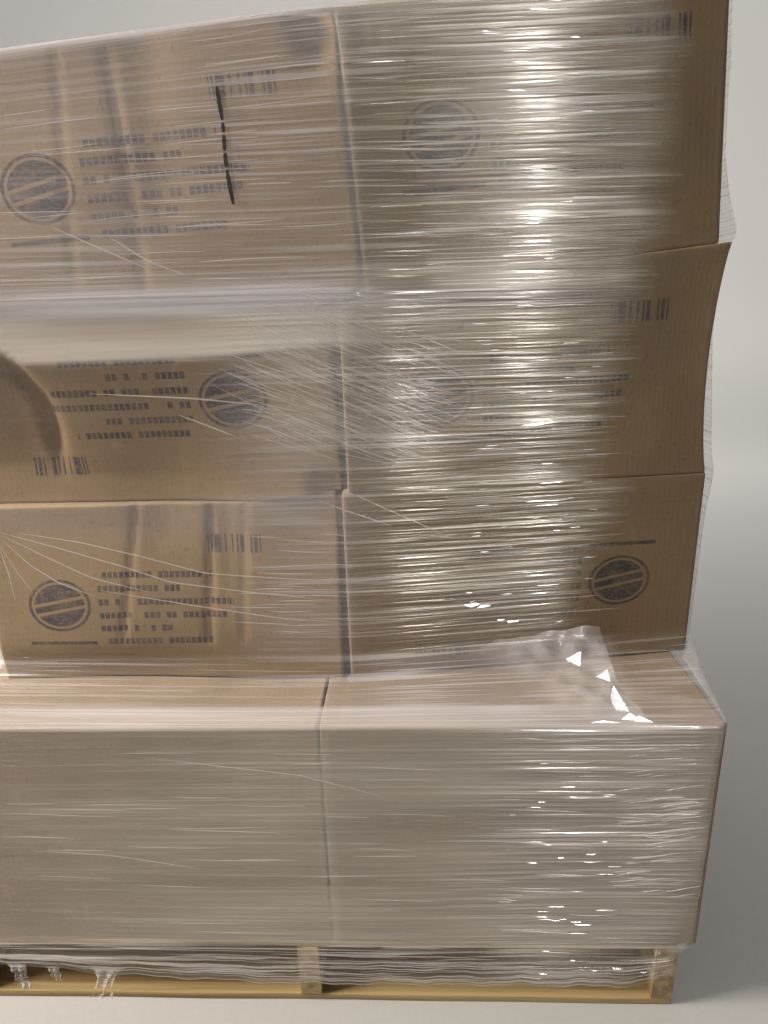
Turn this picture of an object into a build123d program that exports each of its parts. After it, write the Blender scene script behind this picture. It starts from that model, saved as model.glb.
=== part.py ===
from build123d import *
import os

# A stretch wrapped pallet load. X runs across the front, Y runs from the front to the back, Z is up.
# The origin is on the floor, under the middle of the pallet. All sizes are in millimetres.

# Stringer pallet: three notched stringers from front to back, boards across them above and below
pallet_length = 1219.0
pallet_width = 1016.0
stringer_thickness = 30.0
stringer_height = 89.0
board_thickness = 12.0
lead_board_width = 140.0
inner_board_width = 89.0
top_inner_boards = 5
bottom_inner_boards = 3
bottom_inner_span = 430.0
notch_length = 229.0
notch_height = 38.0
notch_from_end = 152.0
notch_corner_radius = 12.0

# Bottom layer: plain cartons, two across and three deep, flush with the pallet's front and back
base_carton_width = 492.0
base_carton_height = 345.0
base_seam_gap = 3.0
base_row_gap = 2.0
base_overhang_right = 22.0

# Upper stack: three rows of smaller cartons, two across and three deep, set back from the front. The tight
# film has racked the right column, so its outer side stands further back than the left column, and that side
# ends just inside the pallet's back. All these cartons are as deep as that leaves room for
carton_width = 484.0
carton_height = 267.0
carton_row_gap = 1.0
seam_gap = 10.0
upper_overhang_right = 22.0
left_setback = 113.5
right_setback = 178.5
right_back_inset = 3.5

# The second row is crushed at its inner end and the right carton of it has swelled at its outer end,
# so the top row rises to the right and leans to the left
middle_row_shift = 8.0
crushed_height_left = 232.0
crushed_height_seam = 242.0
swollen_height_right = 287.0
top_row_height_left = 255.0
top_row_height_seam = 277.0
top_row_height_right = 272.0
top_right_carton_width = 428.0
top_row_shift = 27.0
top_row_lean = 20.0

# Board of the cartons: rounded upright corners, and flaps that meet over the middle
carton_corner_radius = 6.0
flap_gap = 2.0
board_gauge = 4.0

# Stretch film, drawn thicker than it is
film_thickness = 1.0
film_clearance = 1.5
film_hem_left = 70.0
film_hem_right = 33.0
film_top_fold = 75.0
film_bridge_height = 34.0
film_flare_height = 90.0
film_tuck_height = 72.0

os.makedirs("parts", exist_ok=True)
nodes = {}


def block(x0, x1, y0, y1, z0, z1):
    """A box between two corners."""
    size = (x1 - x0, y1 - y0, z1 - z0)
    return Pos((x0 + x1) / 2, (y0 + y1) / 2, (z0 + z1) / 2) * Box(*size)


def carton(x0, x1, y0, y1, bottom, top, rack=0.0, lean=0.0):
    """A closed carton whose front is the quadrilateral over the feet x0 to x1, under the pairs of heights
    bottom and top. rack sets its right side back, and lean moves its ends to the left by that share of their
    height. Its upright edges are rounded, and a narrow gap shows where the long flaps meet, above and below."""
    across = Vector(x1 - x0, rack, bottom[1] - bottom[0])
    left_end = Vector(-lean * (top[0] - bottom[0]), 0, top[0] - bottom[0])
    right_end = Vector(-lean * (top[1] - bottom[1]), 0, top[1] - bottom[1])
    feet = (Vector(x0, y0, bottom[0]), Vector(x0, y0, bottom[0]) + across)
    lid = (feet[0] + left_end, feet[1] + right_end)
    depth = y1 - y0
    body = extrude(make_face(Polyline(feet[0], feet[1], lid[1], lid[0], close=True)), amount=depth, dir=(0, 1, 0))
    ends = (left_end.normalized(), right_end.normalized())
    upright = [
        edge for edge in body.edges() if any(abs(abs(edge.tangent_at(0.5).dot(end)) - 1) < 1e-6 for end in ends)
    ]
    body = fillet(upright, carton_corner_radius)
    for pair, sign in ((feet, 1), (lid, -1)):
        beyond = (pair[1] - pair[0]).normalized()
        rise = (left_end.normalized() * sign, right_end.normalized() * sign)
        gap = Vector(0, (depth - flap_gap) / 2, 0)
        cut = [
            pair[0] - beyond - rise[0] + gap,
            pair[1] + beyond - rise[1] + gap,
            pair[1] + beyond + rise[1] * board_gauge + gap,
            pair[0] - beyond + rise[0] * board_gauge + gap,
        ]
        body -= extrude(make_face(Polyline(*cut, close=True)), amount=flap_gap, dir=(0, 1, 0))
    return body


# Heights of the layers above the floor
deck_underside = board_thickness + stringer_height
pallet_height = deck_underside + board_thickness
base_top = pallet_height + base_carton_height
front = -pallet_length / 2
back = pallet_length / 2
side = pallet_width / 2


# Stringers, each with two notches that let forks in from the sides
def stringer(middle):
    half = stringer_thickness / 2
    beam = block(middle - half, middle + half, front, back, board_thickness, deck_underside)
    for end in (1, -1):
        at = end * (pallet_length / 2 - notch_from_end - notch_length / 2)
        notch = Pos(middle, at, board_thickness) * Box(stringer_thickness + 2, notch_length, 2 * notch_height)
        notch = fillet(notch.edges().filter_by(Axis.X), notch_corner_radius)
        beam -= notch
    return beam


stringer_places = {
    "stringer_left": -side + stringer_thickness / 2,
    "stringer_centre": 0.0,
    "stringer_right": side - stringer_thickness / 2,
}
for name, place in stringer_places.items():
    nodes[name] = stringer(place)


# Boards across the stringers: a lead board at each end, and inner boards spread evenly over a span in the
# middle. The inner bottom boards keep clear of the notches, where a pallet jack's wheels come down
def boards(prefix, inner, span, z0):
    lead_back = back - lead_board_width
    nodes[f"{prefix}_front_lead"] = block(-side, side, front, front + lead_board_width, z0, z0 + board_thickness)
    nodes[f"{prefix}_back_lead"] = block(-side, side, lead_back, back, z0, z0 + board_thickness)
    pitch = (span - inner_board_width) / (inner - 1)
    for index in range(inner):
        y = -span / 2 + index * pitch
        nodes[f"{prefix}_inner_{index + 1}"] = block(-side, side, y, y + inner_board_width, z0, z0 + board_thickness)


deck_gap = (pallet_length - 2 * lead_board_width - top_inner_boards * inner_board_width) / (top_inner_boards + 1)
deck_inner_span = pallet_length - 2 * lead_board_width - 2 * deck_gap
boards("deck_board", top_inner_boards, deck_inner_span, deck_underside)
boards("bottom_board", bottom_inner_boards, bottom_inner_span, 0.0)

# Bottom layer of cartons
base_depth = (pallet_length - 2 * base_row_gap) / 3
base_right = side + base_overhang_right
base_columns = {
    "left": (base_right - 2 * base_carton_width - base_seam_gap, base_right - base_carton_width - base_seam_gap),
    "right": (base_right - base_carton_width, base_right),
}
ranks = ("front", "middle", "back")
for column, (x0, x1) in base_columns.items():
    for rank, word in enumerate(ranks):
        y0 = front + rank * (base_depth + base_row_gap)
        flat = (pallet_height, pallet_height)
        lid = (base_top, base_top)
        nodes[f"base_carton_{column}_{word}"] = carton(x0, x1, y0, y0 + base_depth, flat, lid)

# Upper stack, column by column: the outer and inner sides of each carton and its four heights
upper_right = base_right + upper_overhang_right
seam_right = upper_right - carton_width
seam_left = seam_right - seam_gap
upper_left = seam_left - carton_width
middle_seam_left = seam_left + middle_row_shift
middle_seam_right = seam_right + middle_row_shift
row_3_top = base_top + carton_height
row_2_top_left = row_3_top + crushed_height_left
row_2_top_seam = row_3_top + crushed_height_seam
row_2_top_right = row_3_top + swollen_height_right
top_left_start = upper_left
top_seam_left = seam_left + top_row_shift
top_seam_right = top_seam_left + base_seam_gap
top_right_end = top_seam_right + top_right_carton_width


def line_height(x, x0, z0, x1, z1):
    """The height at x on the straight line from (x0, z0) to (x1, z1)."""
    return z0 + (z1 - z0) * (x - x0) / (x1 - x0)


def left_slope(x):
    return line_height(x, upper_left, row_2_top_left, middle_seam_left, row_2_top_seam)


def right_slope(x):
    return line_height(x, middle_seam_right, row_2_top_seam, upper_right, row_2_top_right)


rows = {
    "lower": {
        "left": (upper_left, seam_left, (base_top, base_top), (row_3_top, row_3_top)),
        "right": (seam_right, upper_right, (base_top, base_top), (row_3_top, row_3_top)),
    },
    "middle": {
        "left": (upper_left, middle_seam_left, (row_3_top, row_3_top), (row_2_top_left, row_2_top_seam)),
        "right": (middle_seam_right, upper_right, (row_3_top, row_3_top), (row_2_top_seam, row_2_top_right)),
    },
}
# The top row rests on the sloping tops of the row below and leans with them. Its left carton bridges the seam
# by top_row_shift. The x values of this row so far are those of its lids, and its feet stand further right
top_lean = top_row_lean / top_row_height_seam
left_foot = top_left_start + top_lean * top_row_height_left
seam_foot_left = top_seam_left + top_row_lean
seam_foot_right = top_seam_right + top_row_lean
right_foot = top_right_end + top_lean * top_row_height_right
top_left_feet = (left_slope(left_foot), max(left_slope(seam_foot_left), right_slope(seam_foot_left)))
top_left_lid = (top_left_feet[0] + top_row_height_left, top_left_feet[1] + top_row_height_seam)
top_right_feet = (right_slope(seam_foot_right), right_slope(right_foot))
top_right_lid = (top_right_feet[0] + top_row_height_seam, top_right_feet[1] + top_row_height_right)
rows["top"] = {
    "left": (left_foot, seam_foot_left, top_left_feet, top_left_lid),
    "right": (seam_foot_right, right_foot, top_right_feet, top_right_lid),
}
stack_front = front + left_setback
racking = {"left": 0.0, "right": right_setback - left_setback}
leaning = {"lower": 0.0, "middle": 0.0, "top": top_lean}
stack_depth = pallet_length - right_setback - right_back_inset
carton_depth = (stack_depth - 2 * carton_row_gap) / 3
for row, columns in rows.items():
    for column, (x0, x1, feet, lid) in columns.items():
        for rank, word in enumerate(ranks):
            y0 = stack_front + rank * (carton_depth + carton_row_gap)
            nodes[f"carton_{row}_{column}_{word}"] = carton(
                x0, x1, y0, y0 + carton_depth, feet, lid, racking[column], leaning[row]
            )

# Stretch film: one closed skin lofted through outlines of what it is pulled over. It hangs over the pallet,
# bridges the step in front of the upper stack, and is folded over the top edges.
left_face = stack_front - film_clearance
right_face = left_face + racking["right"]
left_back = stack_front + stack_depth + film_clearance
right_back = left_back + racking["right"]
pallet_x = side + film_clearance
pallet_y = pallet_length / 2 + film_clearance
base_x0 = base_columns["left"][0] - film_clearance
base_x1 = base_right + film_clearance
upper_x0 = upper_left - film_clearance
upper_x1 = upper_right + film_clearance
knee_x = seam_foot_right + film_clearance
top_knee_x = top_seam_right + film_clearance
back_knee_x = seam_right - film_clearance
top_x1 = top_right_end + film_clearance
flare_height = row_2_top_right + film_flare_height
flare_knee_x = knee_x - top_lean * (flare_height - top_right_feet[0])
flare_x1 = right_foot - top_lean * (flare_height - top_right_feet[1]) + film_clearance


def outline(x0, knee_x, x1, y0, right_y0, shoulder_x, shoulder_y, y1, left_y1, levels, grow):
    """One closed outline of the film: front left, front knee, front right, right shoulder, back right,
    back knee and back left. levels gives the height at the left and the right end."""
    points = [
        (x0 - grow, y0 - grow),
        (knee_x, y0 - grow),
        (x1 + grow, right_y0 - grow),
        (shoulder_x + grow, shoulder_y),
        (shoulder_x + grow, y1 + grow),
        (back_knee_x, left_y1 + grow),
        (x0 - grow, left_y1 + grow),
    ]
    low, high = levels
    return Polyline(*[(x, y, line_height(x, -side, low, side, high)) for x, y in points], close=True)


roof_slope = (max(top_right_lid) - min(top_left_lid)) / (top_right_end - top_left_start)
roof_left = min(top_left_lid) + roof_slope * (-side - top_left_start) + film_clearance
roof_right = roof_left + roof_slope * pallet_width


def film_solid(grow, hem_drop, roof_rise):
    shoulder = right_face + film_clearance
    shoulder_y = right_face + 2 * carton_corner_radius
    lower_upper = base_top + film_bridge_height
    tuck = pallet_height + film_tuck_height
    wires = [
        outline(-pallet_x, knee_x, pallet_x, -pallet_y, -pallet_y, pallet_x, shoulder, pallet_y, pallet_y,
                (film_hem_left - hem_drop, film_hem_right - hem_drop), grow),
        outline(-pallet_x, knee_x, pallet_x, -pallet_y, -pallet_y, pallet_x, shoulder, pallet_y, pallet_y,
                (deck_underside - 2, deck_underside - 2), grow),
        outline(-pallet_x, knee_x, base_x1, -pallet_y, -pallet_y, base_x1, shoulder, pallet_y, pallet_y,
                (pallet_height - 1, pallet_height - 1), grow),
        outline(base_x0, knee_x, base_x1, -pallet_y, -pallet_y, base_x1, shoulder, pallet_y, pallet_y,
                (tuck, tuck), grow),
        outline(base_x0, knee_x, base_x1, -pallet_y, -pallet_y, base_x1, shoulder, pallet_y, pallet_y,
                (base_top - film_flare_height, base_top - film_flare_height), grow),
        outline(base_x0, knee_x, base_x1, -pallet_y, -pallet_y, upper_x1, right_face, pallet_y, pallet_y,
                (base_top + roof_rise, base_top + roof_rise), grow),
        outline(upper_x0, knee_x, upper_x1, left_face, right_face, upper_x1, shoulder_y,
                right_back, left_back, (lower_upper + roof_rise, lower_upper + roof_rise), grow),
        outline(upper_x0, knee_x, upper_x1, left_face, right_face, upper_x1, shoulder_y,
                right_back + film_clearance, left_back, (row_2_top_right + 1, row_2_top_right + 1), grow),
        outline(upper_x0, flare_knee_x, flare_x1, left_face, right_face, flare_x1, shoulder_y,
                right_back, left_back, (flare_height, flare_height), grow),
        outline(upper_x0, top_knee_x, top_x1, left_face, right_face, top_x1, shoulder_y,
                right_back, left_back, (roof_left + roof_rise, roof_right + roof_rise), grow),
    ]
    return loft([make_face(wire) for wire in wires], ruled=True)


film = film_solid(film_thickness, 0.0, film_thickness) - film_solid(0.0, 10.0, 0.0)
fold_x0 = upper_x0 + film_top_fold
fold_x1 = top_x1 - film_top_fold
fold_y0 = right_face + film_top_fold
fold_y1 = left_back - film_top_fold
film -= block(fold_x0, fold_x1, fold_y0, fold_y1, flare_height, roof_right + 50)
nodes["stretch_film"] = film

for name, solid in nodes.items():
    export_step(solid, f"parts/{name}.step")
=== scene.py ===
import math
import random

import bpy
import numpy as np
from mathutils import Matrix, Vector


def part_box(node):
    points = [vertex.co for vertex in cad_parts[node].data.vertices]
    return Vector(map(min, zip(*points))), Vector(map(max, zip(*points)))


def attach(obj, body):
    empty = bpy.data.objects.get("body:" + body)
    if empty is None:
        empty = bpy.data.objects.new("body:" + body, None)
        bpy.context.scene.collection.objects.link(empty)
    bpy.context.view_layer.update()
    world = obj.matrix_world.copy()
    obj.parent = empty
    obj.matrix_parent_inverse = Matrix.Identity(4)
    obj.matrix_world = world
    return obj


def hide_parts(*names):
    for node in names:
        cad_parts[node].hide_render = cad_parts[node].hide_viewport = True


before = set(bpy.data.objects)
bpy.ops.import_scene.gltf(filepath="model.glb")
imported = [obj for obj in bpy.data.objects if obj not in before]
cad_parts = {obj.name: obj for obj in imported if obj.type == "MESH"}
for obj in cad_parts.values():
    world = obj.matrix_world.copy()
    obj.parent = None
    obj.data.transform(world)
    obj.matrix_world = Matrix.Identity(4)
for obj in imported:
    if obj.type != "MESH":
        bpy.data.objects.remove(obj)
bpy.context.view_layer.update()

# Stringers: three softwood beams on edge, sawn rough, each with two notches cut out of its lower edge so
# that forks can enter from the side. The boards are nailed down onto them, above and below.


def shader_node(tree, kind, sockets=None, **settings):
    """Adds a node to a tree. sockets maps the name or index of an input to a value or to an output."""
    made = tree.nodes.new(kind)
    for key, value in settings.items():
        setattr(made, key, value)
    for key, value in (sockets or {}).items():
        if isinstance(value, bpy.types.NodeSocket):
            tree.links.new(value, made.inputs[key])
        else:
            made.inputs[key].default_value = value
    return made


def maths(operation, first, second=0.0, clamp=False):
    """The output of one Math node, in the tree that either value comes from."""
    tree = (first if isinstance(first, bpy.types.NodeSocket) else second).id_data
    sockets = {0: first, 1: second}
    return shader_node(tree, "ShaderNodeMath", sockets, operation=operation, use_clamp=clamp).outputs[0]


def times(first, second, clamp=False):
    """The product of two values."""
    return maths("MULTIPLY", first, second, clamp)


def plus(first, second, clamp=False):
    """The sum of two values."""
    return maths("ADD", first, second, clamp)


def join(output, node, label):
    """Links an output to a named input of a node in the same tree."""
    node.id_data.links.new(output, node.inputs[label])


def own_place(tree):
    """Where a point of the piece lies, in metres."""
    return shader_node(tree, "ShaderNodeTexCoord").outputs["Object"]


def new_material(name):
    """A material, its node tree and its Principled shader."""
    material = bpy.data.materials.new(name)
    material.use_nodes = True
    return material, material.node_tree, material.node_tree.nodes["Principled BSDF"]


def add_bump(surface, height, strength, distance=0.0012):
    """Lets a height, in shares of a distance in metres, tilt the light on a material."""
    sockets = {"Strength": strength, "Distance": distance, "Height": height}
    join(shader_node(surface.id_data, "ShaderNodeBump", sockets).outputs[0], surface, "Normal")


def tone(factor, low, high):
    """The output of one colour Mix node between two colours."""
    sockets = {0: factor, 6: low, 7: high}
    return shader_node(factor.id_data, "ShaderNodeMix", sockets, data_type="RGBA").outputs[2]


def band(value, start, end, low=0.0, high=1.0):
    """A smooth ramp of a value, low at start and high at end."""
    sockets = {0: value, 1: start, 2: end, 3: low, 4: high}
    ramp = shader_node(value.id_data, "ShaderNodeMapRange", sockets, interpolation_type="SMOOTHSTEP")
    return ramp.outputs[0]


def speckle(vector, stretch, detail=2.0, roughness=0.5, dimensions="3D"):
    """Noise over a vector that is first multiplied by stretch, for grain that is longer one way."""
    placed = shader_node(vector.id_data, "ShaderNodeMapping", {0: vector, 3: stretch}).outputs[0]
    sockets = {"Vector": placed, "Scale": 1.0, "Detail": detail, "Roughness": roughness}
    return shader_node(vector.id_data, "ShaderNodeTexNoise", sockets, noise_dimensions=dimensions).outputs[0]


def effect(name, inputs, outputs):
    """An empty node group with named sockets, its input node and its output node."""
    tree = bpy.data.node_groups.new(name, "ShaderNodeTree")
    kinds = {"v": "NodeSocketVector", "f": "NodeSocketFloat", "c": "NodeSocketColor"}
    for label, kind in inputs:
        tree.interface.new_socket(label, in_out="INPUT", socket_type=kinds[kind])
    for label, kind in outputs:
        tree.interface.new_socket(label, in_out="OUTPUT", socket_type=kinds[kind])
    return tree, tree.nodes.new("NodeGroupInput"), tree.nodes.new("NodeGroupOutput")


wood_grain, grain_in, grain_out = effect(
    "wood_grain",
    [("Vector", "v"), ("Light wood", "c"), ("Dark wood", "c")],
    [("Color", "c"), ("Height", "f"), ("Roughness", "f")],
)
along = grain_in.outputs["Vector"]
sway = speckle(along, (1.6, 9.0, 9.0), 2.0)
rings = speckle(along, (2.2, 95.0, 95.0), 3.0, 0.55)
fibres = speckle(along, (14.0, 620.0, 620.0), 2.0, 0.6)
knot_place = shader_node(wood_grain, "ShaderNodeMapping", {0: along, 3: (3.1, 11.0, 11.0)}).outputs[0]
knots = shader_node(wood_grain, "ShaderNodeTexVoronoi", {"Vector": knot_place, "Scale": 1.0})
knot = band(knots.outputs["Distance"], 0.05, 0.13, 1.0, 0.0)
dark = band(plus(rings, times(sway, 0.5)), 0.55, 0.95)
stain = maths("MAXIMUM", times(dark, 0.75), times(knot, 0.9))
stain = plus(stain, times(fibres, 0.22), clamp=True)
wood_colour = tone(stain, grain_in.outputs["Light wood"], grain_in.outputs["Dark wood"])
join(wood_colour, grain_out, "Color")
join(plus(times(fibres, 0.5), times(rings, 0.6)), grain_out, "Height")
join(band(fibres, 0.2, 0.8, 0.62, 0.85), grain_out, "Roughness")


def pallet_wood(name, grain_turn, light, deep):
    """Sawn softwood whose grain runs along X, or along Y with a quarter turn."""
    material, tree, surface = new_material(name)
    turned = shader_node(tree, "ShaderNodeMapping", {0: own_place(tree), 2: (0.0, 0.0, grain_turn)})
    grain = shader_node(tree, "ShaderNodeGroup", node_tree=wood_grain)
    join(turned.outputs[0], grain, "Vector")
    grain.inputs["Light wood"].default_value = (*light, 1.0)
    grain.inputs["Dark wood"].default_value = (*deep, 1.0)
    join(grain.outputs["Color"], surface, "Base Color")
    join(grain.outputs["Roughness"], surface, "Roughness")
    add_bump(surface, grain.outputs["Height"], 0.6)
    return material


beam_names = ("stringer_left", "stringer_centre", "stringer_right")
stringer_wood = pallet_wood("stringer_wood", math.pi / 2, (0.56, 0.42, 0.23), (0.24, 0.15, 0.065))
for name in beam_names:
    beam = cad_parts[name]
    beam.data.materials.clear()
    beam.data.materials.append(stringer_wood)
    weld = beam.modifiers.new("weld", "WELD")
    weld.merge_threshold = 0.00002
    arris = beam.modifiers.new("arris", "BEVEL")
    arris.width = 0.002
    arris.segments = 2
    arris.angle_limit = math.radians(40)

# Deck boards and bottom boards: thin sawn planks laid across the stringers. They are a little bowed and
# cupped, with soft arrises and ends that were cut square by a gang saw, and they are nailed at each beam.


def spread(half, margins, step):
    """Lattice lines from -half to half: close together near both ends, then about a step apart."""
    inner = half - margins[-1]
    count = max(1, round(2 * inner / step))
    middle = np.linspace(-inner, inner, count + 1)
    edge = np.array(margins[:-1])
    return np.concatenate([edge - half, middle, (half - edge)[::-1]])


worn_reach = 0.007


def block_surface(lines, radius):
    """The surface of a box on a lattice of lines, with its edges rounded: points, quads, the axis that each
    quad faces, and how near each point is to an edge, from 0 to 1."""
    index = {}
    spots = []
    quads = []
    facing = []
    count = [len(line) - 1 for line in lines]

    def spot(key):
        if key not in index:
            index[key] = len(spots)
            spots.append([lines[axis][key[axis]] for axis in range(3)])
        return index[key]

    for axis in range(3):
        first, second = [other for other in range(3) if other != axis]
        for end in (0, count[axis]):
            for i in range(count[first]):
                for j in range(count[second]):
                    ring = []
                    for di, dj in ((0, 0), (1, 0), (1, 1), (0, 1)):
                        key = [0, 0, 0]
                        key[axis] = end
                        key[first] = i + di
                        key[second] = j + dj
                        ring.append(spot(tuple(key)))
                    if (end == 0) == (axis != 1):
                        ring.reverse()
                    quads.append(ring)
                    facing.append(axis if end else axis + 3)
    points = np.array(spots)
    half = np.array([line[-1] for line in lines])
    depth = np.sort(half - np.abs(points), axis=1)[:, 1]
    core = np.clip(points, radius - half, half - radius)
    away = points - core
    reach = np.maximum(np.linalg.norm(away, axis=1), 1e-9)
    points = core + away * (radius / reach)[:, None]
    return points, quads, np.array(facing), np.exp(-depth / worn_reach)


def add_piece(name, points, faces, materials, smooth=True):
    """A mesh object of the scene from points and faces."""
    mesh = bpy.data.meshes.new(name)
    mesh.from_pydata([tuple(p) for p in points], [], faces)
    for material in materials:
        mesh.materials.append(material)
    mesh.polygons.foreach_set("use_smooth", [smooth] * len(mesh.polygons))
    mesh.update()
    piece = bpy.data.objects.new(name, mesh)
    bpy.context.scene.collection.objects.link(piece)
    return piece


board_woods = [
    pallet_wood("board_wood_pale", 0.0, (0.62, 0.48, 0.27), (0.30, 0.19, 0.085)),
    pallet_wood("board_wood_yellow", 0.0, (0.60, 0.44, 0.20), (0.27, 0.17, 0.06)),
    pallet_wood("board_wood_grey", 0.0, (0.50, 0.40, 0.26), (0.23, 0.16, 0.09)),
]
board_names = [name for name in sorted(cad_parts) if name.startswith(("deck_board", "bottom_board"))]
for order, name in enumerate(board_names):
    low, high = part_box(name)
    half = np.array(high - low) / 2
    middle = np.array(high + low) / 2
    chance = np.random.default_rng(40 + order)
    lines = [
        spread(half[0], [0.0, 0.0015, 0.004, 0.02], 0.03),
        spread(half[1], [0.0, 0.0015, 0.004, 0.012], 0.014),
        spread(half[2], [0.0, 0.0012, 0.0025], 0.004),
    ]
    points, faces, facing, edge = block_surface(lines, radius=0.0022)
    wobble = np.zeros(len(points))
    for wave in range(5):
        turns = chance.uniform(2.0, 22.0)
        wobble += np.sin(points[:, 0] * turns + chance.uniform(0, 6.3)) * 0.0006 / (1 + wave)
    on_side = np.abs(points[:, 1]) > half[1] - 0.006
    points[:, 1] += np.sign(points[:, 1]) * np.where(on_side, wobble - 0.001, 0.0)
    points[:, 2] += 0.25 * wobble * (np.abs(points[:, 0]) < half[0] - 0.03)
    top = points[:, 2] > 0
    points[:, 2] = np.where(top, np.minimum(points[:, 2], half[2]), np.maximum(points[:, 2], -half[2]))
    plank = add_piece(f"plank_{name}", points + middle, faces, [board_woods[order % 3]])
    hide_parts(name)
    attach(plank, "root")

# Nails: three ring nails of bright steel, gone dull, hold each lead board to each stringer, and two hold
# each inner board. Their heads are driven in until they lie flush with the wood.
nail_head_radius = 0.0038
nail_sides = 12
nail_steel, nail_tree, nail_surface = new_material("nail_steel")
nail_rust = speckle(own_place(nail_tree), (300.0, 300.0, 300.0), 2.0)
nail_colour = tone(nail_rust, (0.33, 0.31, 0.29, 1), (0.20, 0.12, 0.08, 1))
join(nail_colour, nail_surface, "Base Color")
join(band(nail_rust, 0.3, 0.7, 0.35, 0.75), nail_surface, "Roughness")
nail_surface.inputs["Metallic"].default_value = 0.8
nail_points = []
nail_faces = []
nail_chance = random.Random(7)
for name in board_names:
    low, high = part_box(name)
    lead = "lead" in name
    upward = name.startswith("deck")
    for beam in beam_names:
        beam_low, beam_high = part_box(beam)
        across = (beam_low.x + beam_high.x) / 2
        for share in ((0.18, 0.5, 0.82) if lead else (0.27, 0.73)):
            x = across + nail_chance.uniform(-0.006, 0.006)
            y = low.y + (high.y - low.y) * (share + nail_chance.uniform(-0.04, 0.04))
            face, sign = (high.z, 1) if upward else (low.z, -1)
            start = len(nail_points)
            for share_out, rise in ((1.0, -0.0006), (1.0, 0.00005), (0.75, 0.00022)):
                radius = nail_head_radius * share_out
                level = face + rise if upward else face - rise * 0.2
                for step in range(nail_sides):
                    turn = sign * step * math.tau / nail_sides
                    nail_points.append((x + radius * math.cos(turn), y + radius * math.sin(turn), level))
            for a in (start, start + nail_sides):
                b = a + nail_sides
                for step in range(nail_sides):
                    other = (step + 1) % nail_sides
                    nail_faces.append((a + step, a + other, b + other, b + step))
            nail_faces.append([start + 2 * nail_sides + step for step in range(nail_sides)])
nails = add_piece("pallet_nails", nail_points, nail_faces, [nail_steel])
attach(nails, "root")

# Plain cartons of the bottom layer: single wall corrugated board, folded, glued at one corner and closed
# by flaps that meet over the middle. They are a little dented and their scored edges are worn pale.
flute_pitch = 0.0074
kraft_board, kraft_in, kraft_out = effect(
    "kraft_board",
    [("Panel", "v"), ("Place", "v"), ("Edge", "f"), ("Board", "c"), ("Worn", "c")],
    [("Color", "c"), ("Height", "f"), ("Roughness", "f")],
)
panel = kraft_in.outputs["Panel"]
place = kraft_in.outputs["Place"]
split = shader_node(kraft_board, "ShaderNodeSeparateXYZ", {0: panel})
flute = maths("SINE", times(split.outputs[0], math.tau / flute_pitch))
pulp = speckle(place, (900.0, 900.0, 900.0), 1.0, 0.7)
mottle = speckle(place, (16.0, 16.0, 16.0), 2.0, 0.6)
cloud = speckle(place, (3.5, 3.5, 3.5), 1.0, 0.5)
fleck = band(speckle(place, (420.0, 420.0, 160.0), 0.0), 0.66, 0.74)
scuff = band(speckle(place, (60.0, 60.0, 12.0), 1.0, 0.6), 0.62, 0.8)
shade = plus(times(mottle, 0.45), times(cloud, 0.55))
shade = plus(shade, times(pulp, 0.16))
# faint painted shade along the flutes, where glancing light would show the washboard
shade = plus(shade, times(flute, 0.009))
value = band(shade, 0.25, 0.92, 0.78, 1.16)
board_sockets = {"Color": kraft_in.outputs["Board"], "Value": value}
toned = shader_node(kraft_board, "ShaderNodeHueSaturation", board_sockets).outputs[0]
flecked = tone(times(fleck, 0.28), toned, (0.10, 0.065, 0.035, 1.0))
# pale where edges are worn and scuffed; along the creases the pallor is partly a painted highlight
edge_wear_and_highlight = plus(times(kraft_in.outputs["Edge"], 0.5), times(scuff, 0.35))
edge_wear_and_highlight = times(edge_wear_and_highlight, band(mottle, 0.3, 0.7, 0.25, 1.0), clamp=True)
join(tone(edge_wear_and_highlight, flecked, kraft_in.outputs["Worn"]), kraft_out, "Color")
join(times(flute, 0.04), kraft_out, "Height")
join(band(mottle, 0.3, 0.7, 0.72, 0.86), kraft_out, "Roughness")


def kraft_material(name, board, worn_colour):
    """Brown corrugated board, with flutes, fibres, flecks and pale worn edges, pale creases that are partly a
    painted highlight, and faint painted shade along the flutes. Returns it with its nodes.
    """
    material, tree, surface = new_material(name)
    kraft = shader_node(tree, "ShaderNodeGroup", node_tree=kraft_board)
    join(shader_node(tree, "ShaderNodeUVMap", uv_map="panel").outputs[0], kraft, "Panel")
    join(own_place(tree), kraft, "Place")
    join(shader_node(tree, "ShaderNodeAttribute", attribute_name="edge").outputs["Fac"], kraft, "Edge")
    kraft.inputs["Board"].default_value = (*board, 1.0)
    kraft.inputs["Worn"].default_value = (*worn_colour, 1.0)
    join(kraft.outputs["Color"], surface, "Base Color")
    join(kraft.outputs["Roughness"], surface, "Roughness")
    add_bump(surface, kraft.outputs["Height"], 0.5)
    surface.inputs["Specular IOR Level"].default_value = 0.3
    return material, tree, kraft, surface


def ease(value, start, end):
    """A smooth step of an array from 0 at start to 1 at end."""
    share = np.clip((value - start) / (end - start), 0, 1)
    return share * share * (3 - 2 * share)


def hill(value, middle, width):
    """A smooth hill of an array: 1 at the middle, and gone about two widths away from it."""
    return np.exp(-(((value - middle) / width) ** 2))


right_rack = 0.065
top_lean = 0.020 / 0.277
front_depth = 0.02
face_depth = 0.0045


def carton_frame(name):
    """A CAD carton's ends at its feet, its front and back at the left end, the heights of its feet and of its
    lid at both ends, how far its right end stands back, and how far it leans to the left for its height."""
    spots = np.array([vertex.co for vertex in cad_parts[name].data.vertices])
    low = spots.min(0)
    high = spots.max(0)
    left = spots[spots[:, 0] < low[0] + 0.0005]
    right = spots[spots[:, 0] > high[0] - 0.0005]
    rack = right_rack if "right" in name and not name.startswith("base") else 0.0
    lean = top_lean if "top" in name else 0.0
    feet = (low[2], right[:, 2].min())
    lid = (left[:, 2].max(), high[2])
    ends = (low[0] + lean * (lid[0] - feet[0]), high[0])
    return ends, (low[1], high[1] - rack), feet, lid, rack, lean


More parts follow.
